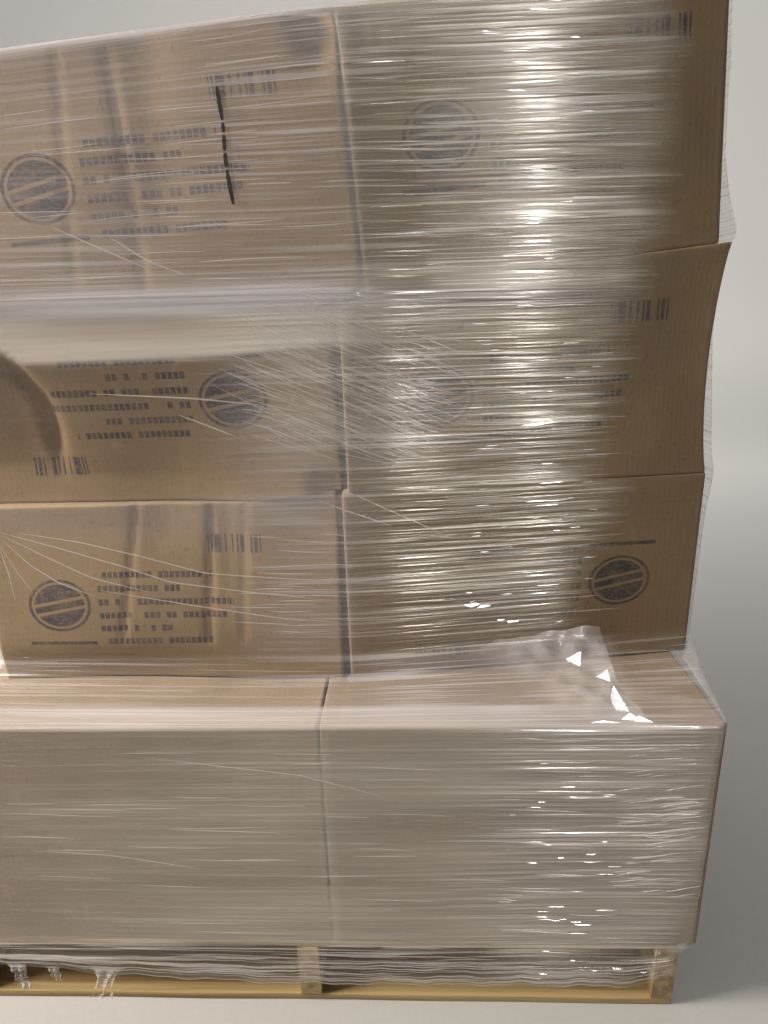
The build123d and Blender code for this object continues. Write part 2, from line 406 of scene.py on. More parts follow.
def row_sag(points):
    """How far the boards near the front left sink where the second row's left carton bears on the third's."""
    by_joint = hill(points[:, 2], 0.723, 0.05)
    return 0.016 * by_joint * ease(points[:, 0], 0.09, -0.06) * ease(points[:, 1], -0.30, -0.42)


off_the_print = 9.0


def carton_piece(name, material, seed, dents=(), creased=(), printed=None, step=0.013, waist=0, arris=0.0028):
    """A board carton in a CAD carton's place. dents are functions of a point's place on the front, across and
    up, that return how far it is pressed in. creased lists straight creases of the front: both ends, width,
    depth and how pale each is painted, partly as wear and partly as a painted highlight where light catches
    the crease. printed gives the middle of the mark on the front panel and whether the carton stands on its
    head. waist is how far its right end is drawn in, arris the radius of its edges."""
    ends, sides, feet_at, lid_at, rack, lean = carton_frame(name)
    mean_height = (lid_at[0] + lid_at[1] - feet_at[0] - feet_at[1]) / 2
    half = np.array([ends[1] - ends[0], sides[1] - sides[0], mean_height]) / 2
    near = [0.0, 0.0012, 0.003, 0.006, 0.014]
    lines = [spread(half[0], near, step), spread(half[1], near, 0.03), spread(half[2], near, step)]
    flat, faces, facing, edge = block_surface(lines, arris)
    chance = np.random.default_rng(seed)
    points = flat.copy()
    share = (flat[:, 0] + half[0]) / (2 * half[0])
    rise = (flat[:, 2] + half[2]) / (2 * half[2])
    feet = feet_at[0] + (feet_at[1] - feet_at[0]) * share
    lid = lid_at[0] + (lid_at[1] - lid_at[0]) * share
    points[:, 0] = (ends[0] + ends[1]) / 2 + flat[:, 0] - lean * (lid - feet) * rise
    points[:, 0] -= waist * np.sin(np.pi * rise) ** 0.7 * ease(flat[:, 0], half[0] - 0.09, half[0])
    points[:, 1] = (sides[0] + sides[1]) / 2 + flat[:, 1] + rack * share
    points[:, 2] = feet + (lid - feet) * rise
    points[:, 2] -= row_sag(points)
    inner = np.clip(1 - np.abs(flat) / half, 0, 1)
    for axis, other, third in ((0, 1, 2), (1, 0, 2), (2, 0, 1)):
        pillow = np.sin(np.pi * np.clip(inner[:, other], 0, 0.5))
        pillow *= np.sin(np.pi * np.clip(inner[:, third], 0, 0.5))
        for side in (-1, 1):
            on = (flat[:, axis] * side > half[axis] - face_depth).astype(float)
            ripple = np.zeros(len(flat))
            for wave in range(6):
                tilt = chance.uniform(-28, 28, 2)
                waves = points[:, other] * tilt[0] + points[:, third] * tilt[1]
                ripple += np.sin(waves + chance.uniform(0, 6.3))
            points[:, axis] -= side * on * pillow * (0.0016 + 0.0006 * ripple)
    on_front = flat[:, 1] < -half[1] + front_depth
    pressed = np.zeros(len(flat))
    for dent in dents:
        pressed += dent(points[:, 0], points[:, 2])
    for x0, z0, x1, z1, width, deep, crease_wear_and_highlight in creased:
        run = x1 - x0
        drop = z1 - z0
        from_x = points[:, 0] - x0
        from_z = points[:, 2] - z0
        along = np.clip((from_x * run + from_z * drop) / (run**2 + drop**2), 0, 1)
        by_crease = np.exp(-((np.hypot(from_x - along * run, from_z - along * drop) / width) ** 2))
        pressed += deep * by_crease * on_front
        # the creases are painted pale: partly wear, partly a painted highlight where light catches them
        edge = np.maximum(edge, crease_wear_and_highlight * by_crease * on_front)
    fade = np.clip((half[1] - front_depth - flat[:, 1]) / 0.12, 0, 1) if dents else 0.0
    points[:, 1] += pressed * np.where(on_front, 1.0, 0.35 * fade)
    piece = add_piece(f"board_{name}", points, faces, [material])
    mesh = piece.data
    corners = np.array([loop for ring in faces for loop in ring])
    kind = np.repeat(facing % 3, 4)
    spot = flat[corners]
    sideways = np.where(kind == 0, spot[:, 1], spot[:, 0])
    upward = np.where(kind == 2, spot[:, 1], spot[:, 2])
    panel_map = np.stack([sideways + 2.0 * kind, upward], axis=1)
    mesh.uv_layers.new(name="panel").data.foreach_set("uv", panel_map.ravel().astype(np.float32))
    if printed:
        centre_x, centre_z, upended = printed
        real = points[corners]
        turn = -1.0 if upended else 1.0
        tilt = (lid_at[1] + feet_at[1] - lid_at[0] - feet_at[0]) / (4 * half[0])
        above = (real[:, 2] - centre_z - tilt * (real[:, 0] - centre_x)) * turn
        across = (real[:, 0] - centre_x + lean * (real[:, 2] - centre_z)) * turn
        behind = np.repeat(facing, 4) == 1
        across = np.where(behind, -(real[:, 0] - (ends[0] + ends[1] - centre_x)) * turn, across)
        print_map = np.where((kind == 1)[:, None], np.stack([across, above], axis=1), off_the_print)
        mesh.uv_layers.new(name="print").data.foreach_set("uv", print_map.ravel().astype(np.float32))
    # the edge attribute carries the worn edges and the creases' painted highlights
    mesh.attributes.new("edge", "FLOAT", "POINT").data.foreach_set("value", edge.astype(np.float32))
    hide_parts(name)
    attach(piece, "root")
    return piece


plain_board = kraft_material("plain_board", (0.305, 0.227, 0.152), (0.42, 0.33, 0.24))[0]
base_names = [name for name in sorted(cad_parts) if name.startswith("base_carton")]
for order, name in enumerate(base_names):
    seen = name.endswith("front")
    carton = carton_piece(name, plain_board, 100 + order, step=0.014 if seen else 0.03, arris=0.0022)

# Printed cartons of the three upper rows: the same board, printed on both long sides in one dark ink by a
# rubber plate. The print is a generic one, with a ringed disc, ruled lines of blocks and a row of bars.
disc_size = (0.044, 0.037)
line_pitch = 0.0188
letter_pitch = 0.0078
bar_pitch = 0.0024
ink_marks, ink_in, ink_out = effect("ink_marks", [("Print", "v"), ("Place", "v")], [("Mask", "f")])
on_print = shader_node(ink_marks, "ShaderNodeSeparateXYZ", {0: ink_in.outputs["Print"]})
across = on_print.outputs[0]
above = on_print.outputs[1]


def between(value, start, end, soft=0.0005):
    """1 where a value lies between two others."""
    return times(band(value, start - soft, start + soft), band(value, end - soft, end + soft, 1.0, 0.0))


def white_noise(label, value, dimensions):
    """A chance value from 0 to 1 for each whole number, or for each pair of them."""
    kind = "ShaderNodeTexWhiteNoise"
    return shader_node(value.id_data, kind, {label: value}, noise_dimensions=dimensions).outputs[0]


disc_across = maths("DIVIDE", across, disc_size[0])
disc_above = maths("DIVIDE", above, disc_size[1])
from_disc = shader_node(ink_marks, "ShaderNodeCombineXYZ", {0: disc_across, 1: disc_above}).outputs[0]
ray = shader_node(ink_marks, "ShaderNodeVectorMath", {0: from_disc}, operation="LENGTH").outputs["Value"]
rim = between(ray, 0.90, 1.0, 0.012)
middle_disc = band(ray, 0.80, 0.82, 1.0, 0.0)
sash = plus(above, times(across, -0.18))
clear_sash = between(sash, -0.010, 0.008)
sash_line = between(sash, -0.0055, 0.0035)
plain_disc = times(middle_disc, maths("SUBTRACT", 1.0, clear_sash))
marks = maths("MAXIMUM", plain_disc, times(sash_line, middle_disc))
marks = maths("MAXIMUM", rim, marks)
under = times(between(above, -0.057, -0.052), between(across, -0.047, 0.047))
marks = maths("MAXIMUM", marks, under)
row = maths("DIVIDE", maths("SUBTRACT", 0.050, above), line_pitch)
row_number = maths("FLOOR", row)
in_row = between(maths("FRACT", row), 0.22, 0.68, 0.03)
letter = maths("DIVIDE", across, letter_pitch)
letter_number = maths("FLOOR", letter)
in_letter = between(maths("FRACT", letter), 0.08, 0.86, 0.06)
cell = shader_node(ink_marks, "ShaderNodeCombineXYZ", {0: letter_number, 1: row_number}).outputs[0]
word = band(white_noise("Vector", cell, "2D"), 0.155, 0.165)
row_end = plus(0.155, times(white_noise("W", row_number, "1D"), 0.10))
line_start = maths("GREATER_THAN", across, 0.054)
in_line = times(line_start, maths("LESS_THAN", across, row_end))
in_block = times(between(row, 0.0, 6.0, 0.01), in_line)
blocks = times(times(in_row, in_letter), times(word, in_block))
marks = maths("MAXIMUM", marks, blocks)
stripe = maths("FLOOR", maths("DIVIDE", across, bar_pitch))
stripes = maths("GREATER_THAN", white_noise("W", stripe, "1D"), 0.42)
in_bars = times(between(across, 0.212, 0.304), between(above, 0.070, 0.095))
marks = maths("MAXIMUM", marks, times(stripes, in_bars))
press = speckle(ink_in.outputs["Place"], (260.0, 260.0, 260.0), 1.0, 0.7)
press = band(press, 0.25, 0.6, 0.55, 1.0)
patchy = speckle(ink_in.outputs["Place"], (34.0, 34.0, 34.0), 1.0)
coverage = times(press, band(patchy, 0.3, 0.65, 0.72, 1.0))
join(times(marks, coverage), ink_out, "Mask")

printed_board, printed_tree, printed_kraft, printed_surface = kraft_material(
    "printed_board", (0.335, 0.226, 0.116), (0.50, 0.38, 0.24)
)
ink = shader_node(printed_tree, "ShaderNodeGroup", node_tree=ink_marks)
join(shader_node(printed_tree, "ShaderNodeUVMap", uv_map="print").outputs[0], ink, "Print")
join(own_place(printed_tree), ink, "Place")
inked = times(ink.outputs["Mask"], 0.94)
inked = tone(inked, printed_kraft.outputs["Color"], (0.026, 0.028, 0.044, 1.0))
join(inked, printed_surface, "Base Color")


def crease_height(x):
    """The height of the crease that runs across the second row's left carton."""
    return 0.896 + 0.018 * ease(x, -0.31, -0.345) + 0.012 * ease(x, -0.1, 0.05)


def crushed_face(x, z):
    """The second row's left carton: buckled out along its crease, with the board below pressed in."""
    crease = crease_height(x)
    leant = 0.003 + 0.011 * ease(x, 0.05, -0.12)
    above = np.clip((z - crease) / 0.062, 0, 1) * leant
    below = np.clip((crease - z) / 0.15, 0, 1) ** 0.8 * (0.012 + 0.028 * ease(x, 0.06, -0.2))
    return above + below


def folded_corner(x, z):
    """The same carton near its left corner: a fold that was pushed in beside the corner."""
    line = -0.312 - 0.04 * ease(z, 0.84, 0.925)
    depth = 0.015 * ease(z, 0.73, 0.82) * ease(z, 0.925, 0.885)
    hollow = 0.35 * depth * hill(x + 0.01, line, 0.045)
    return depth * hill(x, line, 0.012) + hollow


def soft_corner(x, z):
    """The inner lower corner of that carton, pushed in over the seam."""
    return 0.013 * np.exp(-(((x - 0.052) / 0.022) ** 2) - ((z - 0.728) / 0.02) ** 2)


def panel_creases(x, z):
    """The third row's left carton: shallow hollows between the upright creases in its front panel."""
    first = hill(x, -0.17, 0.045) * ease(z, 0.58, 0.70)
    second = hill(x, -0.09, 0.02) * ease(z, 0.54, 0.68)
    return 0.006 * first + 0.004 * second + 0.022 * ease(z, 0.47, 0.72)


def bowed_foot(x, z):
    """The same carton's lower edge, pressed back in a shallow bow."""
    return 0.010 * ease(z, 0.52, 0.462) * hill(x, -0.27, 0.16)


def top_creases(x, z):
    """The top row's left carton: a soft hollow beside its crease and a crushed corner at its upper right."""
    hollow = 0.004 * hill(x, -0.12, 0.03) * ease(z, 1.0, 1.1)
    corner = 0.014 * np.exp(-(((x - 0.070) / 0.022) ** 2) - ((z - 1.232) / 0.035) ** 2)
    return hollow + corner


def top_flutes(x, z):
    """The top row's right carton: upright hollows below its lid."""
    wave = 0.5 + 0.5 * np.cos((x - 0.095) * math.tau / 0.019)
    return 0.003 * wave * ease(z, 1.19, 1.225) * hill(x, 0.12, 0.035)


print_places = {
    "top_left": (-0.258, 1.088, False),
    "top_right": (0.198, 1.129, False),
    "middle_left": (-0.063, 0.8445, True),
    "middle_right": (0.1935, 0.8405, False),
    "lower_left": (-0.331, 0.570, False),
    "lower_right": (0.444, 0.576, True),
}
front_dents = {
    "top_left": (top_creases,),
    "top_right": (top_flutes,),
    "middle_left": (crushed_face, folded_corner, soft_corner),
    "lower_left": (panel_creases, bowed_foot),
}
front_creases = {
    # each crease's two ends, across and up, its width, its depth and how pale it is painted: partly wear,
    # partly a painted highlight where light catches the crease
    "top_left": (
        (-0.1585, 1.2196, -0.1480, 0.9725, 0.0040, 0.0030, 0.9),
        (-0.1670, 1.2196, -0.1560, 0.9725, 0.0030, 0.0010, 0.5),
        (-0.2149, 1.2202, -0.2340, 0.9886, 0.0040, 0.0018, 0.5),
        (0.0400, 1.2400, 0.0700, 1.2050, 0.0050, 0.0030, 0.6),
    ),
    # pale lines without a dent: painted highlights on the flute ridges below the lid
    "top_right": (
        (0.0950, 1.2420, 0.0945, 1.2050, 0.0030, 0.0, 1.0),
        (0.1130, 1.2430, 0.1125, 1.2100, 0.0030, 0.0, 1.0),
        (0.1310, 1.2440, 0.1305, 1.2120, 0.0030, 0.0, 0.9),
        (0.1500, 1.2450, 0.1490, 1.2000, 0.0030, 0.0, 0.6),
    ),
    # the first four lines follow the buckled crease without a dent of their own: wear and a painted highlight
    # on its edge
    "middle_left": (
        (-0.3400, 0.9130, -0.3156, 0.8994, 0.0045, 0.0, 0.9),
        (-0.3156, 0.8994, -0.2167, 0.8965, 0.0045, 0.0, 1.0),
        (-0.2167, 0.8965, -0.0940, 0.8950, 0.0045, 0.0, 1.0),
        (-0.0940, 0.8950, 0.0517, 0.9100, 0.0045, 0.0, 0.8),
        (-0.2500, 0.9500, -0.2420, 0.9000, 0.0030, 0.0010, 0.5),
        (-0.1800, 0.9520, -0.1830, 0.9000, 0.0030, 0.0008, 0.4),
    ),
    "lower_left": (
        (-0.2094, 0.7155, -0.2470, 0.5213, 0.0040, 0.0030, 0.6),
        (-0.1087, 0.7134, -0.1252, 0.5200, 0.0050, 0.0035, 0.8),
        (-0.0639, 0.7057, -0.0780, 0.5192, 0.0040, 0.0025, 0.6),
    ),
}
order = 0
for where, printed in print_places.items():
    for rank in ("front", "middle", "back"):
        name = f"carton_{where}_{rank}"
        seen = rank == "front"
        carton = carton_piece(
            name,
            printed_board,
            200 + order,
            dents=front_dents.get(where, ()) if seen else (),
            creased=front_creases.get(where, ()) if seen else (),
            printed=printed,
            step=0.006 if seen else 0.024,
            waist=0.013 if where == "middle_right" else 0,
        )
        order += 1

# Stretch film: clear polyethylene film wound round the load from the pallet up, turn over turn, under
# tension. It clings to itself, bridges the steps between the layers and is gathered into fine ridges.
low_rings = [
    # height, left end, right end
    (0.050, -0.5095, 0.5095),
    (0.099, -0.5095, 0.5095),
    (0.113, -0.5095, 0.5315),
    (0.185, -0.4590, 0.5318),
    (0.408, -0.4590, 0.5318),
]
high_rings = [
    # height, knee, right end
    (0.6700, 0.088, 0.5575),
    (0.7180, 0.088, 0.5610),
    (0.7270, 0.088, 0.5625),
    (0.7600, 0.090, 0.5545),
    (0.8300, 0.092, 0.5480),
    (0.9100, 0.097, 0.5400),
    (0.9900, 0.107, 0.5425),
    (1.0130, 0.109, 0.5545),
    (1.0260, 0.108, 0.5545),
    (1.0600, 0.104, 0.5420),
    (1.1020, 0.101, 0.5320),
    (None, 0.091, 0.5195),
]
film_rings = [(z, x0, 0.088, x1, -0.611, -0.611, (x1, -0.431), 0.611, 0.611) for z, x0, x1 in low_rings]
film_rings += [
    # height, left end, knee, right end, front left, front right, right shoulder, back right, back left
    (0.459, -0.4590, 0.088, 0.5335, -0.611, -0.611, (0.5540, -0.4325), 0.611, 0.611),
    (0.4605, -0.4560, 0.088, 0.5395, -0.566, -0.566, (0.5545, -0.4300), 0.611, 0.600),
    (0.4680, -0.4450, 0.088, 0.5470, -0.530, -0.500, (0.5550, -0.4250), 0.610, 0.570),
    (0.4950, -0.4280, 0.088, 0.5550, -0.498, -0.4330, (0.5555, -0.4200), 0.608, 0.543),
]
film_rings += [
    (z, -0.4280, knee, x1, -0.498, -0.4330, (x1, -0.4200), 0.608, 0.543) for z, knee, x1 in high_rings
]
top_of_bottom_layer = 8
film_fold = 0.075
fold_rows = 18


def lid_height(x):
    """The height of the film over the lids of the top row, at x."""
    return np.interp(x, [-0.4280, 0.090, 0.5195], [1.2139, 1.2486, 1.2842])


def ring_corners(level):
    """The seven corners of the film's outline at one level, as x, y and z."""
    height, x0, knee, x1, front_left, front_right, shoulder, back_right, back_left = level
    corners = [
        (x0, front_left),
        (knee, front_left),
        (x1, front_right),
        shoulder,
        (shoulder[0], back_right),
        (0.0665, back_left),
        (x0, back_left),
    ]
    return np.array([(x, y, height or lid_height(x)) for x, y in corners])


reference = ring_corners(film_rings[top_of_bottom_layer])
shares = []
edges = []
winding = []
travelled = 0.0
for side in range(7):
    start = reference[side]
    end = reference[(side + 1) % 7]
    length = float(np.linalg.norm((end - start)[:2]))
    pace = 0.0085 if side < 2 else 0.024
    near = [d for d in (0.0, 0.004, 0.009, 0.016) if d < length / 2]
    count = max(1, round((length - 2 * near[-1]) / pace))
    stops = near[:-1] + list(np.linspace(near[-1], length - near[-1], count + 1))
    stops += [length - d for d in near[-2:0:-1]]
    for stop in stops:
        shares.append(stop / length)
        edges.append(side)
        winding.append(travelled + stop)
    travelled += length
shares = np.array(shares)
edges = np.array(edges)
winding = np.array(winding)

film_rows = []
profile = []
climbed = 0.0
for level in range(len(film_rings) - 1):
    low_ring = ring_corners(film_rings[level])
    high_ring = ring_corners(film_rings[level + 1])
    run = float(np.linalg.norm((high_ring - low_ring)[1]))
    pace = 0.0034 if level < 2 or level >= top_of_bottom_layer else 0.0046
    count = max(2, round(run / pace))
    for step in range(count + (level == len(film_rings) - 2)):
        part = step / count
        ring = low_ring + (high_ring - low_ring) * part
        following = np.roll(ring, -1, axis=0)
        film_rows.append(ring[edges] + (following[edges] - ring[edges]) * shares[:, None])
        profile.append(climbed + run * part)
    climbed += run
film_grid = np.array(film_rows)
profile = np.array(profile)

# the lower edge of the skirt, as the photo shows it along the front, and ragged on the other sides
hem_x = [-0.52, -0.411, -0.30, -0.216, -0.044, 0.20, 0.451, 0.49, 0.52]
hem_z = [0.070, 0.065, 0.052, 0.046, 0.037, 0.036, 0.038, 0.052, 0.074]
hem_front = np.interp(film_grid[0, :, 0], hem_x, hem_z)
hem_other = 0.046 + 0.010 * np.sin(winding * 5.1 + 0.8) + 0.006 * np.sin(winding * 13.7)
hem_height = np.where(edges < 2, hem_front, hem_other)
hem_height += 0.0018 * np.sin(winding * 61) + 0.0012 * np.sin(winding * 143 + 1)
skirt = film_grid[:, 0, 2] < 0.0985
skirt_share = (film_grid[skirt][:, :, 2] - 0.050) / 0.049
film_grid[skirt, :, 2] = hem_height[None, :] + (0.099 - hem_height[None, :]) * skirt_share

# rounds the corners a little and softens the bends from level to level
for soften in range(2):
    film_grid[:, :, :2] = (np.roll(film_grid, 1, 1) + 2 * film_grid + np.roll(film_grid, -1, 1))[:, :, :2] / 4
knee_at = float(np.linalg.norm((reference[1] - reference[0])[:2]))
by_knee = np.abs(winding - knee_at) < 0.10
for soften in range(40):
    across_y = film_grid[:, :, 1]
    blended = (np.roll(across_y, 1, 1) + 2 * across_y + np.roll(across_y, -1, 1)) / 4
    film_grid[:, by_knee, 1] = blended[:, by_knee]
for soften in range(4):
    inside = film_grid[1:-1]
    blended = (film_grid[:-2] + 2 * inside + film_grid[2:]) / 4
    level_height = film_grid[1:-1, 0, 2]
    flare = (level_height > 0.10) & (level_height < 0.20)
    rows_above = (level_height > 0.50) & (level_height < 1.15)
    bend = flare | rows_above
    film_grid[1:-1][bend] = blended[bend]

# the top of the film, folded in over the upper edges and lying on the lids
top_ring = film_grid[-1].copy()
racked = right_rack * ease(top_ring[:, 0], 0.02, 0.52)
for step in range(1, fold_rows + 1):
    reach = film_fold * step / fold_rows
    inset = top_ring.copy()
    inset[:, 0] = np.clip(top_ring[:, 0], top_ring[:, 0].min() + reach, top_ring[:, 0].max() - reach)
    inset[:, 1] = np.clip(top_ring[:, 1], -0.498 + reach + racked, 0.542 - reach + racked)
    lift = 0.0006 * math.sin(step * 1.3) - 0.0018 * min(1, step / 2)
    inset[:, 2] = lid_height(inset[:, 0]) + lift
    film_grid = np.concatenate([film_grid, inset[None]], axis=0)
    profile = np.append(profile, climbed + reach)


def drift(u, v, run, rise, seed):
    """Smooth random values from 0 to 1 over the film, about run long along the winding and rise high."""
    around = max(2, round(travelled / run))
    lattice = np.random.default_rng(seed).random((around, math.ceil((climbed + film_fold) / rise) + 2))
    along = np.mod(u, travelled) / travelled * around
    up = np.clip(v, 0, climbed + film_fold) / rise
    i = np.floor(along).astype(int) % around
    j = np.floor(up).astype(int)
    a = ease(along - np.floor(along), 0, 1)
    b = ease(up - j, 0, 1)
    low = lattice[i, j] * (1 - a) + lattice[(i + 1) % around, j] * a
    high = lattice[i, j + 1] * (1 - a) + lattice[(i + 1) % around, j + 1] * a
    return low * (1 - b) + high * b


# how the film looks from place to place: how ridged and how milky it is, and in two places painted light,
# painted for each point
place_x = film_grid[:, :, 0]
place_z = film_grid[:, :, 2]
front = np.broadcast_to(edges < 2, place_x.shape)
around_u = np.broadcast_to(winding[None, :], place_x.shape)
up_v = np.broadcast_to(profile[:, None], place_x.shape)

# the right edge of the broad gathered band that runs down the right column, and the parts of the front
band_z = [0.50, 0.55, 0.722, 0.724, 0.764, 0.948, 1.02, 1.3]
band_x = [0.375, 0.385, 0.435, 0.398, 0.400, 0.435, 0.455, 0.455]
boundary = np.interp(place_z[:, 0], band_z, band_x)[:, None]
boundary = boundary + 0.03 * (drift(around_u, up_v, 0.5, 0.009, 3) - 0.5)
left_of_band = ease(place_x, boundary + 0.03, boundary - 0.03)
right_column = ease(place_x, 0.01, 0.17)
upper = ease(place_z, 0.485, 0.50)
row_one = ease(place_z, 0.955, 0.975)
row_two = ease(place_z, 0.715, 0.735) * (1 - row_one)
row_three = upper * (1 - row_one) * (1 - row_two)
fan = np.exp(-(((place_x - 0.085) / 0.12) ** 4) - (((place_z - 0.868) / 0.115) ** 4)) * front

# how ridged the film is on each part
ridged_left = row_one * (0.22 + 0.45 * ease(place_x, -0.18, 0.02) + 0.3 * ease(place_z, 1.06, 0.99))
ridged_left += row_two * (0.08 + 0.5 * ease(place_x, -0.12, 0.02))
ridged_left += row_three * (0.08 + 0.5 * ease(place_x, -0.10, 0.04))
ridged_right = left_of_band * (1.0 + 0.15 * ease(place_x, 0.22, 0.34)) + (1 - left_of_band) * 0.05
ridged_base = 0.30 + 0.57 * ease(place_x, 0.16, 0.28) + 0.2 * ease(place_x, 0.40, 0.46)
ridged_base *= 1 - 0.6 * ease(place_x, 0.49, 0.52)
ridged_ledge = 0.45 + 0.4 * right_column
is_base = ease(place_z, 0.461, 0.457)
is_skirt = ease(place_z, 0.118, 0.108)
ridged_front = upper * ((1 - right_column) * ridged_left + right_column * ridged_right) * (1 - 0.2 * fan)
ridged_low = is_skirt * 1.3 + (1 - is_skirt) * ridged_base
ridged_front += (1 - upper) * ((1 - is_base) * ridged_ledge + is_base * ridged_low)
ridged = np.where(front, ridged_front, np.where(edges < 4, 0.4, 0.6) + 0.5 * is_skirt)
ridged = ridged * (0.55 + 0.9 * drift(around_u, up_v, 0.20, 0.035, 5))

# the seam between the left and the right cartons, where the film bridges a narrow gap
seam_heights = [0.45, 0.46, 0.72, 0.725, 0.955, 0.958, 1.25]
seam_x = np.interp(place_z, seam_heights, [0.040, 0.063, 0.063, 0.071, 0.071, 0.1065, 0.0865])
by_seam = hill(place_x, seam_x, 0.006) * front
ridged = ridged * (1 - 0.6 * by_seam * (1 - is_base))

# how milky the film is on each part, with painted light over the strip above the second row's crease and a
# painted sheen on the third row's right carton
haze_and_lit_strip_left = row_one * (0.19 + 0.14 * ease(place_z, 1.04, 0.97))
haze_and_lit_strip_left += row_two * (0.05 + 0.24 * ease(place_x, -0.14, 0.05))
haze_and_lit_strip_left += row_three * (0.05 + 0.16 * ease(place_z, 0.63, 0.70) + 0.16 * ease(place_x, -0.14, 0.02))
milky_band = hill(place_z + 0.02 * place_x, 0.961, 0.013) * ease(place_x, -0.40, -0.22)
# painted light: the strip above the crease, which leans back towards the light, is made milkier and warmer;
# partly milky film, partly painted light on the board
painted_lit_strip = ease(place_z - crease_height(place_x), -0.004, 0.006) * ease(place_z, 0.975, 0.945)
haze_and_lit_strip_left += 0.85 * (milky_band * (0.70 + 0.45 * ease(place_x, -0.27, -0.05)) + 0.66 * painted_lit_strip)
haze_and_sheen_right = left_of_band * (0.24 + 0.12 * row_one * ease(place_x, 0.22, 0.30) - 0.02 * row_three)
haze_and_sheen_right += (1 - left_of_band) * 0.01
haze_and_sheen_right += 0.16 * hill(place_z, 0.975, 0.035) * ease(place_x, 0.40, 0.20)
haze_and_sheen_right += 0.34 * ease(place_z, 1.13, 1.25) * left_of_band * ease(place_x, 0.40, 0.25)
# painted sheen: extra milkiness over the third row's right carton where a gloss band lies
painted_sheen_patch = ease(place_z, 0.66, 0.58) * ease(place_x, 0.12, 0.20) * ease(place_x, 0.40, 0.34)
haze_and_sheen_right += 0.26 * row_three * painted_sheen_patch
haze_and_sheen_right *= 1 - 0.22 * hill(place_x, 0.18, 0.04)
haze_and_painted_light_front = upper * ((1 - right_column) * haze_and_lit_strip_left + right_column * haze_and_sheen_right)
shelf = ease(film_grid[:, :, 1], -0.566, -0.574) * (1 - is_base)
clear_corner = ease(place_x, 0.425, 0.445)
haze_ledge = 0.04 + 0.16 * right_column
haze_ledge += 0.60 * shelf * ease(place_x, -0.50, -0.20) * ease(place_x, 0.40, 0.26) + 0.2 * shelf
haze_ledge *= 1 - 0.85 * clear_corner
haze_base = 0.21 + 0.18 * ease(place_x, -0.42, -0.05) + 0.14 * ease(place_x, 0.10, 0.36)
haze_base -= 0.16 * ease(place_x, 0.44, 0.52) * ease(place_z, 0.24, 0.19)
haze_skirt = 0.12 + 0.30 * hill(place_x, 0.34, 0.07)
haze_low = (1 - is_skirt) * haze_base + is_skirt * haze_skirt
haze_and_painted_light_front += (1 - upper) * ((1 - is_base) * haze_ledge + is_base * haze_low)
haze_and_painted_light_front += by_seam * (0.04 * upper + 0.12 * row_one + 0.08 * is_base * (1 - is_skirt))
haze_and_painted_light = np.where(front, haze_and_painted_light_front, 0.16)
cloud = 0.45 * drift(around_u, up_v, 0.33, 0.035, 7) + 0.35 * drift(around_u, up_v, 0.20, 0.014, 8)
cloud = cloud + 0.20 * drift(around_u, up_v, 0.11, 0.0075, 9)
haze_and_painted_light = haze_and_painted_light * (0.45 + 1.1 * cloud)
rows_from_top = (np.arange(len(film_grid)) - (len(film_grid) - fold_rows - 1))[:, None]
haze_and_painted_light = haze_and_painted_light + 0.4 * hill(rows_from_top, 0, 2.5)

# what the bare film covers by itself, and how warm or cool its tint is, warmed over the strip above the
# second row's crease as painted light
skin = np.where(front, 0.03 - 0.015 * (1 - left_of_band) * right_column * upper, 0.03)
warmth_and_lit_strip = 0.5 - 0.6 * milky_band + 0.6 * painted_lit_strip * (1 - right_column) + 0.9 * (right_column - 0.5) * upper
warmth_and_lit_strip += 0.15 * is_base - 0.3 * (1 - upper) * (1 - is_base) + 0.5 * (cloud - 0.5)
warmth_and_lit_strip = np.clip(warmth_and_lit_strip, 0, 1)

# ridges that the tension raises along the winding, denser where the film is gathered
tangent = np.roll(film_grid, -1, 1) - np.roll(film_grid, 1, 1)
climb = np.gradient(film_grid, axis=0)
outward = np.cross(tangent, climb)
outward /= np.maximum(np.linalg.norm(outward, axis=2), 1e-9)[:, :, None]
chance = np.random.default_rng(11)
raised = 0.0020 * drift(around_u, up_v, 0.55, 0.020, 12) + 0.0006 * drift(around_u, up_v, 0.30, 0.010, 13)
for ridge in range(2600):
    at = chance.uniform(0, travelled)
    level = chance.uniform(0, profile[-1])
    length = chance.uniform(0.05, 0.28)
    width = chance.uniform(0.0026, 0.0060)
    slope = chance.normal(0, 0.008)
    tall = chance.uniform(0.15, 0.55) * width * 0.085
    columns = np.flatnonzero(np.abs(winding - at) < 2.2 * length)
    rows = np.flatnonzero(np.abs(profile - level) < 3 * width + 2.2 * length * abs(slope))
    if len(columns) == 0 or len(rows) == 0:
        continue
    offset = winding[columns] - at
    across = profile[rows][:, None] - level - slope * offset[None, :]
    bump = tall * np.exp(-((offset / length) ** 2))[None, :] * np.exp(-((across / width) ** 2))
    raised[np.ix_(rows, columns)] += bump
raised *= 0.15 + 0.85 * np.clip(ridged, 0, 1.1)
raised *= np.clip((len(film_grid) - 3 - np.arange(len(film_grid)))[:, None] / 4, 0, 1)
film_grid = film_grid + outward * np.minimum(raised, 0.0026)[:, :, None]

row_count, column_count = film_grid.shape[:2]
film_faces = []
for i in range(row_count - 1):
    for j in range(column_count):
        k = (j + 1) % column_count
        a = i * column_count
        b = a + column_count
        film_faces.append((a + j, a + k, b + k, b + j))

